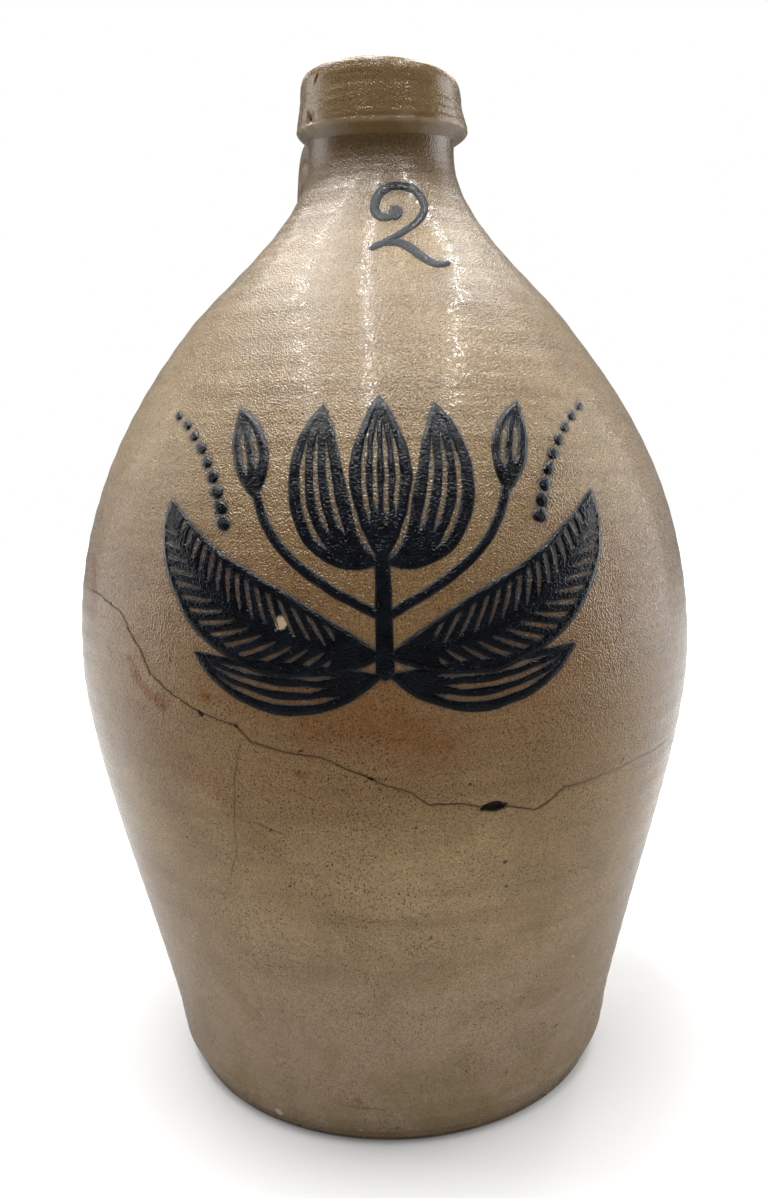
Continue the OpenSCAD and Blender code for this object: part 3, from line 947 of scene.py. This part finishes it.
def build_collar():
    lip_h = 0.4 * (jug_h - collar_z)
    bead_z = collar_z + 3.6
    groove = 0.6
    quarter_turn = np.linspace(0, math.pi / 2, 24)
    lip = np.stack([crest_r + (collar_top_r - crest_r) * np.cos(quarter_turn) ** 0.75,
                    jug_h - lip_h + lip_h * np.sin(quarter_turn) ** 0.75], -1)
    flare = np.stack([crest_r - (crest_r - throat_r) * np.sin(quarter_turn),
                      neck_top + (jug_h - neck_top) * np.cos(quarter_turn)], -1)[1:]
    line = np.vstack([
        [[neck_r - 0.6, collar_z - 3.4], [collar_r - groove, collar_z],
         [collar_r, collar_z + groove], [collar_r, bead_z - groove],
         [collar_r - 0.3 * groove, bead_z], [collar_r - 0.4 * groove, bead_z + groove]],
        lip, flare, [[neck_r - 0.6, neck_top - 0.05]]])
    line = resample(soften(line, 0.5, 0.1, closed=True), 0.5, closed=True)
    side = outward(line, closed=True)
    az = np.arange(-180, 180, 0.9)
    r, z = (np.repeat(line[:, i:i + 1], len(az), 1) for i in (0, 1))
    turn = np.repeat(az[None], len(line), 0)
    out = smoothstep((r - throat_r - 1.5) / 6) * smoothstep((z - collar_z + 4) / 4)
    out = out * np.where((r < neck_r + 0.5) & (z < neck_top + 0.5), 0, 1)
    rise = collar_relief(turn, z, out)
    r = r + rise * side[:, :1]
    lifted = z + rise * side[:, 1:] + edge_shift(turn, z) * smoothstep((r - neck_r + 1.5) / 1.5)
    a = np.radians(turn)
    points = lean(round_places(r, a, lifted).reshape(-1, 3))
    # Painted shade in the slit of the fold and in the nick of the lip.
    dark = (collar_pit(turn, z) * smoothstep((r - crest_r) / 2)).ravel()
    # Lighter line along the crease above the collar's lower edge: a painted highlight, with worn
    # pale patches added to it.
    edge = (bump(z - collar_z - 0.9, 0.7) * smoothstep((r - collar_r + 2) / 1)).ravel()
    worn = 0.8 * smoothstep(noise(points, 6, 45) - 0.2) * bump(z.ravel() - collar_z - 1.5, 2)
    edge = edge * (0.75 + 0.5 * noise(points, 3, 44)) + worn
    return make_mesh("collar_with_lip", points, grid_faces(len(line), len(az), close_rows=True),
                     {"pit_shade": dark, "edge": edge})


# Handle: a pulled strap in the plane that the part's source gives it

handle_turn = math.radians(11.5)
strap_w, strap_t = 35, 11
rise_r, fall_r, back_r = 42, 30, 120
root = np.array([(2 * 30.8 + strap_t) / 2, jug_h - 18])
headings = np.radians([32, 0, -80, -100])


def arc(start, radius, h0, h1, steps):
    h = h0 + (h1 - h0) * np.arange(1, steps + 1) / steps
    places = start + radius * np.stack([np.sin(h0) - np.sin(h), np.cos(h) - np.cos(h0)], -1)
    return places, h


def strap_line():
    """Middle line of the strap, its headings, and the place where it meets the shoulder."""
    rise = np.array([math.cos(headings[0]), math.sin(headings[0])])
    back_steps = np.arange(-5, 0, 1)
    places = [root + back_steps[:, None] * rise, root[None]]
    turns = [np.full(len(back_steps), headings[0]), headings[:1]]
    for radius, h0, h1, steps in zip((rise_r, fall_r, back_r), headings[:-1], headings[1:],
                                     (20, 36, 34)):
        p, h = arc(places[-1][-1], radius, h0, h1, steps)
        places.append(p)
        turns.append(h)
    tail = np.array([math.cos(headings[-1]), math.sin(headings[-1])])
    end = places[-1][-1]
    seat_run = np.arange(0, 80, 0.25)
    p = end + seat_run[:, None] * tail
    hit = int(np.argmax(np.interp(p[:, 1], outer_z, outer_r) > p[:, 0]))
    run = np.arange(0.8, seat_run[hit] + 3.0, 0.8)
    places.append(end + run[:, None] * tail)
    turns.append(np.full(len(run), headings[-1]))
    return np.vstack(places), np.concatenate(turns), p[hit]


def at_handle(points):
    """From the handle's plane (out, up, across) to the row's frame."""
    out, up, across = np.moveaxis(np.asarray(points, float), -1, 0)
    cos, sin = math.cos(handle_turn), math.sin(handle_turn)
    upright = np.stack([-sin * out + cos * across, cos * out + sin * across, up], -1)
    near_neck = 1 - smoothstep((out - neck_r) / 18)
    return upright + near_neck[..., None] * (lean(upright) - upright)


def strap_section(count):
    """Section of the strap: rounded edges, and grooves that fingers drew down its outer face."""
    a = np.arange(count) / count * 2 * math.pi
    out, across = (np.sign(c) * np.abs(c) ** 0.6 for c in (np.cos(a), np.sin(a)))
    dip = np.where(out > 0, 0.12 * out * (1 - across ** 2), 0)
    ribs = 0.028 * np.cos(across * 3.6 * math.pi) * np.where(out > 0, out, 0.5 * out)
    ribs = ribs * (1 - across ** 4)
    return np.stack([strap_t * (out / 2 - dip + ribs), strap_w / 2 * across], -1)


def strap_rings(places, turns, count, swell):
    """Rings of the strap's section along its line, enlarged by swell at each place."""
    section = strap_section(count)
    side = np.stack([-np.sin(turns), np.cos(turns)], -1)
    p = places[:, None, :] + (swell[:, None] * section[:, 0])[..., None] * side[:, None, :]
    across = swell[:, None] * section[:, 1]
    return np.concatenate([p, across[..., None]], -1)


def strap_swell(count):
    return 1 + 0.08 * np.linspace(-1, 1, count) ** 2


def closed_tube(rings):
    """Points and faces of a tube with fanned ends, from rings of points."""
    shape = rings.shape[:2]
    points = np.vstack([rings.reshape(-1, 3), rings[0].mean(0)[None], rings[-1].mean(0)[None]])
    return points, grid_faces(*shape) + fan_faces(*shape)


def build_strap():
    places, turns, _ = strap_line()
    spokes = 96
    rings = strap_rings(places, turns, spokes, strap_swell(len(places)))
    p = rings.reshape(-1, 3)
    middle = np.repeat(places, spokes, 0)
    away = p[:, :2] - middle
    size = np.maximum(np.linalg.norm(away, axis=1, keepdims=True), 0.3)
    wobble = 0.28 * noise(p, 22, 51) + 0.1 * noise(p, 7, 52) - 0.15
    sway = 0.35 * noise(middle[:, [0, 1, 1]], 26, 53)
    p = p + np.column_stack([away / size * wobble[:, None], sway])
    points, faces = closed_tube(p.reshape(rings.shape))
    return make_mesh("pulled_strap", at_handle(points), faces)


def ball(centre, tilt, half_out, half_up, half_across):
    """A flattened ball in the handle's plane."""
    count = 28
    lat = np.linspace(-math.pi / 2, math.pi / 2, count)[1:-1]
    lon = np.arange(2 * count) / count * math.pi
    unit = np.stack([np.cos(lat)[:, None] * np.cos(lon), np.cos(lat)[:, None] * np.sin(lon),
                     np.sin(lat)[:, None] * np.ones(len(lon))], -1)
    p = unit * [half_out, half_up, half_across]
    c, s = math.cos(tilt), math.sin(tilt)
    turned = np.stack([c * p[..., 0] - s * p[..., 1], s * p[..., 0] + c * p[..., 1], p[..., 2]], -1)
    return closed_tube(turned + [*centre, 0])


def joined(shells):
    points, faces, count = [], [], 0
    for p, f in shells:
        points.append(p)
        faces.extend(tuple(i + count for i in face) for face in f)
        count += len(p)
    return np.vstack(points), faces


def fused(name, shells):
    """One skin over shells that run into each other, as clay pressed together."""
    cell, smooth_steps = 0.8, 70
    points, faces = joined(shells)
    thing = make_mesh(name, points, faces)
    remesh = thing.modifiers.new("skin", "REMESH")
    remesh.mode = "VOXEL"
    remesh.voxel_size = cell * MM
    smooth = thing.modifiers.new("smooth", "SMOOTH")
    smooth.factor = 0.5
    smooth.iterations = smooth_steps
    bpy.context.view_layer.update()
    graph = bpy.context.evaluated_depsgraph_get()
    skin = bpy.data.meshes.new_from_object(thing.evaluated_get(graph))
    thing.modifiers.clear()
    thing.data = skin
    shade_smooth(skin)
    return thing


def row_of_balls(table, count):
    """Flattened balls close together, whose sizes run smoothly through a table's rows."""
    table = np.array(table, float)
    given = np.linspace(0, 1, len(table))
    wanted = np.linspace(0, 1, count)
    sizes = np.stack([np.interp(wanted, given, column) for column in table.T], -1)
    for _ in range(4):
        sizes[1:-1] = (sizes[:-2] + 2 * sizes[1:-1] + sizes[2:]) / 4
    return sizes


def build_upper_joint():
    """Clay that wraps the back of the neck under the collar, with the strap pressed into it."""
    places, turns, _ = strap_line()
    count = 16
    swell = strap_swell(len(places))[:count] * np.linspace(1.14, 0.97, count)
    shells = [closed_tube(strap_rings(places[:count], turns[:count], 64, swell))]
    for out, up, tilt, half_out, half_up, half_across in row_of_balls(
            [(44, 344.5, 0.4, 6, 4.2, 17), (37, 341.5, 0.55, 8, 6, 18.5),
             (31.5, 337.5, 0.4, 9, 8, 19.5), (28.5, 331.5, 0.1, 7.5, 9, 18),
             (26.5, 324, -0.1, 5, 8, 13), (26.5, 318, -0.2, 3, 6, 8)], 26):
        shells.append(ball((out, up), tilt, half_out, half_up, half_across))
    thing = fused("upper_joint_clay", shells)
    p = get_places(thing.data)
    p = p + 0.3 * noise(p, 9, 61)[:, None] * np.array([1, 0.3, 0.3])
    set_places(thing.data, at_handle(p))
    return thing


def build_lower_terminal():
    """The strap's end spread on the shoulder and pressed down with a thumb."""
    places, turns, seat = strap_line()
    count = 30
    swell = strap_swell(len(places))[-count:] * np.linspace(0.97, 1.2, count)
    shells = [closed_tube(strap_rings(places[-count:], turns[-count:], 64, swell))]
    seat_s = np.interp(seat[1], outer_z, outer_s)
    for along, half_over, half_across in row_of_balls(
            [(-13, 3.5, 15), (-8, 5.5, 20.5), (-1, 7, 23), (6, 7.2, 23.3), (13, 6.4, 21.5),
             (20, 5.2, 17.5), (26, 3.8, 12), (30, 2.6, 7)], 34):
        s = seat_s - along
        side = along_outline(vessel_side, s)
        under = along_outline(vessel_line, s) - side
        shells.append(ball(under, math.atan2(side[1], side[0]), half_over, 7, half_across))
    thing = fused("lower_terminal_clay", shells)
    p = get_places(thing.data)
    press_s = seat_s - 15
    out = along_outline(vessel_side, press_s)
    down = np.array([out[1], -out[0]])
    gap = p[:, :2] - along_outline(vessel_line, press_s)
    along, over = gap @ down, gap @ out
    far = np.hypot(along / 1.2, p[:, 2])
    shift = -3.2 * bump(far, 7.5) + 1.1 * bump(far - 11.5, 3)
    p[:, :2] += (shift * smoothstep((over + 1) / 3) + 0.3 * noise(p, 9, 62))[:, None] * out
    set_places(thing.data, at_handle(p))
    return thing


# Materials

class Nodes:
    """The nodes of a material or a world, each made by one short call."""

    def __init__(self, owner):
        owner.use_nodes = True
        self.tree = owner.node_tree
        self.tree.nodes.clear()

    def add(self, kind, values=None, **settings):
        node = self.tree.nodes.new("ShaderNode" + kind)
        for key, value in settings.items():
            setattr(node, key, value)
        for key, value in (values or {}).items():
            self.put(node.inputs[key], value)
        return node

    def put(self, socket, value):
        if isinstance(value, bpy.types.NodeSocket):
            self.tree.links.new(value, socket)
        else:
            socket.default_value = value

    def span(self, value, low, high, out_low=0.0, out_high=1.0):
        """Smooth step of a value from one range to another."""
        values = {"Value": value, "From Min": low, "From Max": high, "To Min": out_low,
                  "To Max": out_high}
        return self.add("MapRange", values, interpolation_type="SMOOTHSTEP").outputs[0]

    def scaled(self, place, sizes):
        return self.add("VectorMath", {0: place, 1: sizes}, operation="MULTIPLY").outputs[0]


class Shader(Nodes):
    """A material's nodes, which take places in millimetres."""

    def __init__(self, name):
        self.material = bpy.data.materials.new(name)
        super().__init__(self.material)
        self.surface = self.add("BsdfPrincipled")
        self.add("OutputMaterial", {"Surface": self.surface.outputs[0]})
        self.place = self.scaled(self.add("TexCoord").outputs["Object"], (1 / MM,) * 3)

    def stretched(self, *sizes):
        return self.scaled(self.place, sizes)

    def grain(self, size, detail=2.0, rough=0.5, twist=0.0, place=None):
        values = {"Scale": 1 / size, "Detail": detail, "Roughness": rough, "Distortion": twist}
        return self.add("TexNoise", {"Vector": place or self.place, **values}).outputs[0]

    def spots(self, size, which="Distance"):
        node = self.add("TexVoronoi", {"Vector": self.place, "Scale": 1 / size})
        return node.outputs[which]

    def math(self, operation, a, b=0.0, c=0.0, clamp=False):
        return self.add("Math", {0: a, 1: b, 2: c}, operation=operation, use_clamp=clamp).outputs[0]

    def times(self, a, b, clamp=False):
        return self.math("MULTIPLY", a, b, clamp=clamp)

    def most(self, a, b):
        return self.math("MAXIMUM", a, b)

    def mix(self, share, a, b, blend="MIX"):
        node = self.add("Mix", data_type="RGBA", blend_type=blend)
        for index, value in ((0, share), (6, a), (7, b)):
            self.put(node.inputs[index], value)
        return node.outputs[2]

    def tint(self, skin, share, strength, *shade):
        """The skin with a colour over it, by a share of a strength."""
        return self.mix(self.times(share, strength), skin, colour(*shade))

    def mark(self, name):
        return self.add("Attribute", attribute_name=name, attribute_type="GEOMETRY").outputs["Fac"]

    def height(self):
        return self.add("SeparateXYZ", {0: self.place}).outputs[2]

    def bumped(self, height, depth, under=None):
        values = {"Height": height, "Distance": depth * MM, "Strength": 1.0}
        if under:
            values["Normal"] = under
        return self.add("Bump", values).outputs[0]

    def finish(self, **values):
        for key, value in values.items():
            self.put(self.surface.inputs[key.replace("_", " ")], value)
        return self.material


def colour(red, green, blue):
    """A colour from 0 to 255 as light, with full alpha."""
    parts = [part / 255 for part in (red, green, blue)]
    return (*(((c + 0.055) / 1.055) ** 2.4 if c > 0.04 else c / 12.92 for c in parts), 1.0)


def orange_peel(shader):
    """Skin of salt glaze: a net of small dimples, under 1 mm apart."""
    net = shader.grain(0.6, 1.0, 0.4, 0.15)
    return shader.span(net, 0.32, 0.68)


def stoneware(name, jug_wall=False, collar_shade_highlight_and_wear=False):
    """Salt-glazed clay: grey-tan, freckled with iron, flushed and stained."""
    s = Shader(name)
    z = s.height()
    broad = s.span(s.grain(62, 3, 0.55, 0.4), 0.35, 0.68)
    patch = s.span(s.grain(24, 4, 0.6, 0.8), 0.4, 0.7)
    streak = s.span(s.grain(7, 3, 0.6, 0.2, s.stretched(0.1, 0.1, 1)), 0.45, 0.72)
    peel = orange_peel(s)
    skin = s.mix(broad, colour(138, 115, 80), colour(154, 131, 94))
    skin = s.tint(skin, patch, 0.45, 122, 104, 76)
    skin = s.tint(skin, streak, 0.4, 112, 86, 59)
    low = s.span(z, 128, 30)
    mauve = s.mix(patch, colour(152, 130, 107), colour(138, 119, 90))
    skin = s.mix(s.times(low, 0.75), skin, mauve)
    # Darker brown round the belly: partly the clay's own tone, partly painted shade where less
    # overhead light reaches the belly.
    belly_shade_band = s.times(s.span(z, 232, 190), s.span(z, 105, 150))
    skin = s.tint(skin, belly_shade_band, 0.55, 110, 81, 46)
    # Painted shade: the neck, and everything above it, is darker from the top of the shoulder up.
    skin = s.tint(skin, s.span(z, 296, 322), 0.5, 100, 80, 55)
    # Painted shade: the neck just under the collar is darkened, where the collar shades it.
    under_collar_shade = s.times(s.span(z, 313, 328), s.span(z, 344, 340))
    skin = s.tint(skin, under_collar_shade, 0.6, 80, 62, 41)
    if jug_wall:
        flush = s.times(s.mark("flush"), s.span(s.grain(2.2, 3, 0.7), 0.3, 0.62, 0.35, 1.0))
        skin = s.tint(skin, flush, 0.75, 112, 70, 30)
        halo = s.span(s.mark("halo"), 0.0, 0.55)
        skin = s.tint(skin, halo, 0.75, 50, 53, 56)
    fine = s.span(s.grain(0.55, 2, 0.6), 0.3, 0.7, 0.86, 1.1)
    skin = s.mix(1.0, skin, fine, "MULTIPLY")
    skin = s.mix(1.0, skin, s.span(peel, 0.0, 1.0, 0.86, 1.06), "MULTIPLY")
    specks = s.span(s.grain(0.42, 1, 0.5), 0.55, 0.64)
    skin = s.tint(skin, specks, s.math("MULTIPLY_ADD", belly_shade_band, 0.2, 0.5), 60, 40, 23)
    freckled = s.span(s.grain(16, 2, 0.5), 0.35, 0.7, 0.6, 1.0)
    for size, reach, share in ((6, 0.09, 0.55), (2.4, 0.15, 0.4), (1.3, 0.26, 0.2),
                               (0.85, 0.36, 0.15)):
        lot = s.add("SeparateColor", {0: s.spots(size, "Color")}).outputs[0]
        chosen = s.times(s.span(lot, share, 1.0, 0.0, reach), freckled)
        dot = s.math("LESS_THAN", s.spots(size), chosen)
        skin = s.tint(skin, dot, 0.75, 42, 28, 17)
    relief_of = s.times(peel, s.span(z, 60, 215, 0.45, 1.0))
    relief_of = s.times(relief_of, s.span(z, 290, 342, 1.0, 0.3))
    rough = s.span(s.grain(9, 3, 0.6), 0.3, 0.75, 0.03, 0.09)
    rough = s.math("ADD", rough, s.span(z, 190, 40, 0.0, 0.2))
    rough = s.math("ADD", rough, s.times(under_collar_shade, 0.14))
    if jug_wall:
        rust = s.mark("rust")
        rust = s.times(rust, s.span(s.grain(1.3, 4, 0.7), 0.36, 0.6, 0.6, 1.4), clamp=True)
        stain = s.mix(s.span(s.grain(0.9, 2), 0.5, 0.62), colour(112, 66, 8), colour(58, 32, 8))
        skin = s.mix(rust, skin, stain)
        line, twig = (s.math("ABSOLUTE", s.mark(name)) for name in ("crack", "branch"))
        gap = s.times(s.span(line, 0.25, 0.1), s.mark("crack_on"))
        branch = s.times(s.span(twig, 0.22, 0.06), s.mark("branch_on"))
        gap = s.most(s.times(gap, 0.85), s.times(branch, 0.8))
        soiled = s.times(s.span(line, 1.2, 0.1), s.mark("crack_on"))
        skin = s.tint(skin, soiled, 0.22, 100, 70, 42)
        gap = s.most(gap, s.span(s.mark("chip"), 0.02, 0.3))
        skin = s.mix(gap, skin, colour(40, 26, 16))
        rough = s.most(rough, s.times(gap, 0.85))
        skin = s.tint(skin, s.mark("speck"), 0.8, 38, 26, 17)
        olive = s.times(s.span(z, 45, 8), s.span(s.grain(15, 3, 0.6), 0.42, 0.6, 0.0, 0.5))
        skin = s.mix(olive, skin, colour(122, 104, 66))
        turned = s.times(s.span(z, 5.2, 4.2), s.span(z, 2.6, 3.6))
        skin = s.tint(skin, turned, 0.4, 104, 78, 58)
        # Painted shadow: a darker band just above the bare foot, where the jug meets the floor.
        skin = s.mix(s.span(z, 2.4, 1.6, 0.0, 0.5), skin, colour(96, 78, 58))
        skin = s.mix(s.mark("pale"), skin, colour(190, 172, 146))
        bare = s.span(z, 1.2, 0.5)
        skin = s.mix(bare, skin, s.mix(broad, colour(150, 134, 110), colour(128, 112, 88)))
        rough = s.most(rough, s.times(bare, 0.85))
    if collar_shade_highlight_and_wear:
        # Painted shade: the collar is darkened, more so towards its lower edge.
        skin = s.mix(s.span(z, 356, 343, 0.3, 0.6), skin, colour(92, 72, 43))
        # Painted highlight along the collar's lower crease, together with worn pale patches.
        skin = s.tint(skin, s.mark("edge"), 0.5, 160, 142, 114)
        # Painted shade in the fold's slit and the lip's nick.
        skin = s.mix(s.span(s.mark("pit_shade"), 0.2, 0.7), skin, colour(40, 28, 20))
    normal = s.bumped(s.grain(3.2, 3, 0.5), 0.08)
    turns = s.math("MULTIPLY_ADD", z, 2 * math.pi / 2.9, s.times(s.grain(45, 1), 5))
    normal = s.bumped(s.math("SINE", turns), 0.02, normal)
    normal = s.bumped(relief_of, 0.17, normal)
    return s.finish(Base_Color=skin, Roughness=rough, Normal=normal, IOR=1.5)


def cobalt_slip():
    """Raised slip, navy black where thick and grey-blue where thin, under the same glaze."""
    s = Shader("cobalt_slip")
    load = s.mark("load")
    peel = orange_peel(s)
    thin = s.mix(s.span(s.grain(2.5, 3, 0.6), 0.3, 0.7), colour(31, 38, 47), colour(46, 51, 56))
    thick = s.mix(s.span(s.grain(5, 3, 0.6), 0.35, 0.7), colour(8, 9, 12), colour(15, 19, 26))
    skin = s.mix(s.span(load, 0.2, 0.7), thin, thick)
    skin = s.mix(1.0, skin, s.span(peel, 0.0, 1.0, 0.8, 1.1), "MULTIPLY")
    speck = s.math("LESS_THAN", s.spots(1.5), 0.1)
    skin = s.tint(skin, speck, 0.4, 96, 100, 104)
    skin = s.mix(s.mark("bare"), skin, colour(168, 150, 122))
    rough = s.span(s.grain(6, 3, 0.6), 0.3, 0.75, 0.12, 0.24)
    rough = s.most(rough, s.span(load, 0.75, 0.35, 0.0, 0.6))
    rough = s.most(rough, s.times(s.mark("bare"), 0.7))
    normal = s.bumped(peel, 0.09)
    return s.finish(Base_Color=skin, Roughness=rough, Normal=normal, Specular_IOR_Level=0.3)


def brown_slip():
    """Smooth dark brown slip that was swilled round the inside, with runs down the wall."""
    s = Shader("brown_slip")
    runs = s.span(s.grain(9, 3, 0.6, 0.3, s.stretched(1, 1, 0.12)), 0.35, 0.7)
    skin = s.mix(runs, colour(74, 48, 32), colour(52, 32, 21))
    skin = s.tint(skin, s.span(s.grain(30, 2), 0.4, 0.7), 0.5, 88, 62, 42)
    rough = s.span(s.grain(12, 3, 0.6), 0.3, 0.75, 0.3, 0.5)
    normal = s.bumped(s.grain(1.8, 2, 0.5), 0.06)
    return s.finish(Base_Color=skin, Roughness=rough, Normal=normal, IOR=1.5)


# Studio: a pale floor, soft lamps and the camera

def only_for(nodes, ray, plain, shaded):
    """Shows the plain shader to one kind of ray, and the shaded one to the rest of the light."""
    chosen = nodes.add("LightPath").outputs[ray]
    return nodes.add("MixShader", {0: chosen, 1: shaded, 2: plain}).outputs[0]


def depth_share(nodes, vector, near, far, out_near, out_far):
    """A number that grows from the front of the studio to its back."""
    depth = nodes.add("SeparateXYZ", {0: vector}).outputs[1]
    return nodes.span(depth, near, far, out_near, out_far)


def grey(share):
    return (share, share, share, 1)


def matt(nodes, shade):
    return nodes.add("BsdfDiffuse", {"Color": shade}).outputs[0]


def build_floor():
    """A pale floor that fades to plain white away from the jug, where the camera sees it, with
    painted shade round the jug.
    """
    half = 2200
    corners = [[-half, -half, 0], [half, -half, 0], [half, half, 0], [-half, half, 0]]
    thing = make_mesh("studio_floor", corners, [(0, 1, 2, 3)])
    material = bpy.data.materials.new("studio_floor")
    nodes = Nodes(material)
    place = nodes.add("TexCoord").outputs["Object"]
    mirrored = matt(nodes, depth_share(nodes, place, -0.2, 0.2, 0.12, 0.58))
    around = only_for(nodes, "Is Glossy Ray", mirrored, matt(nodes, grey(0.8)))
    far = nodes.add("VectorMath", {0: place}, operation="LENGTH").outputs["Value"]
    # Painted shade: the glow that the camera sees is dim near the jug and full further off.
    glow_and_painted_shade = nodes.add("Emission", {"Strength": nodes.span(far, 0.09, 0.42, 0.08, 1.0)}).outputs[0]
    seen = nodes.add("AddShader", {0: matt(nodes, grey(0.71)), 1: glow_and_painted_shade}).outputs[0]
    nodes.add("OutputMaterial", {"Surface": only_for(nodes, "Is Camera Ray", seen, around)})
    thing.data.materials.append(material)


def build_world():
    """White to the camera, dim to the jug, and paler at the back where the glaze mirrors it."""
    world = bpy.data.worlds.new("studio")
    nodes = Nodes(world)
    place = nodes.add("TexCoord").outputs["Generated"]
    behind = depth_share(nodes, place, -0.1, 0.6, 0.04, 0.28)
    mirrored, dim, white = (
        nodes.add("Background", {"Color": grey(shade), "Strength": strength}).outputs[0]
        for shade, strength in ((0.8, behind), (1.0, 0.08), (1.0, 1.0)))
    around = only_for(nodes, "Is Glossy Ray", mirrored, dim)
    nodes.add("OutputWorld", {"Surface": only_for(nodes, "Is Camera Ray", white, around)})
    bpy.context.scene.world = world


def set_place(thing, right, up, back, place):
    """Puts a lamp or the camera at a place, with its three axes along unit vectors."""
    bpy.context.scene.collection.objects.link(thing)
    rows = [(right[i], up[i], back[i], place[i]) for i in range(3)]
    thing.matrix_world = Matrix((*rows, (0, 0, 0, 1)))


def build_lamp(name, place, aim, width, height, power):
    data = bpy.data.lights.new(name, "AREA")
    data.shape = "RECTANGLE"
    data.size, data.size_y = width, height
    data.energy = power
    back = np.array(place, float) - aim
    back /= np.linalg.norm(back)
    right = np.cross([0, 0, 1], back) if abs(back[2]) < 0.99 else np.array([1.0, 0, 0])
    right /= np.linalg.norm(right)
    set_place(bpy.data.objects.new(name, data), right, np.cross(back, right), back, place)


def build_camera():
    data = bpy.data.cameras.new("photo_camera")
    data.sensor_width = 36
    data.lens = data.sensor_width * FOCAL_PX / PHOTO_H
    data.clip_start = 0.02
    camera = bpy.data.objects.new("photo_camera", data)
    right, up, ahead = camera_axes()
    set_place(camera, right, up, -ahead, camera_place * MM)
    bpy.context.scene.camera = camera


def dress(piece, material, node):
    """Gives a piece its material, ties it to the body, and hides the imported node that it stands
    for.
    """
    piece.data.materials.clear()
    piece.data.materials.append(material)
    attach(piece, "root")
    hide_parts(node)


build_camera()
build_world()
build_floor()
# Lamps: name, place, what each looks at, width and height in metres, and watts
for lamp in (("ceiling_left", (-0.56, -0.15, 1.5), (-0.56, -0.15, 0), 0.085, 1.3, 10.5),
             ("ceiling_middle", (-0.07, -0.2, 1.5), (-0.07, -0.2, 0), 0.075, 1.3, 14),
             ("ceiling_right", (0.6, -0.15, 1.5), (0.6, -0.15, 0), 0.08, 1.3, 15),
             ("ceiling_soft", (-0.6, 0.15, 1.4), (0, 0, 0.3), 0.8, 0.8, 9),
             ("ceiling_back", (0.1, 0.9, 1.3), (0, 0, 0.3), 1.4, 0.9, 13),
             ("left", (-1.2, 0.4, 0.45), (0, 0, 0.2), 0.8, 1.1, 6),
             ("right", (1.2, 0.35, 0.45), (0, 0, 0.2), 0.8, 1.1, 9.5)):
    build_lamp(*lamp)

strokes = slip_strokes()
halo = halo_raster([k for group in strokes.values() for k in group])
clay = stoneware("salt_glazed_stoneware")
for piece, material, node in (
        (build_vessel(halo), stoneware("salt_glazed_wall", jug_wall=True), "thrown_body"),
        (build_collar(), stoneware("salt_glazed_collar", collar_shade_highlight_and_wear=True), "spout_collar"),
        (build_strap(), clay, "strap_handle"),
        (build_upper_joint(), clay, "handle_upper_joint"),
        (build_lower_terminal(), clay, "handle_lower_terminal")):
    dress(piece, material, node)
dress(build_lining(), brown_slip(), "inner_slip_lining")
slip = cobalt_slip()
for node, group in strokes.items():
    meshes = [k.mesh() for k in group]
    points, faces = joined([(p, f) for p, f, _ in meshes])
    load, bare = np.hstack([marks for _, _, marks in meshes])
    piece = make_mesh("slip_" + node, points, faces, {"load": load, "bare": bare})
    dress(piece, slip, node)

bpy.context.scene.view_settings.view_transform = "Standard"
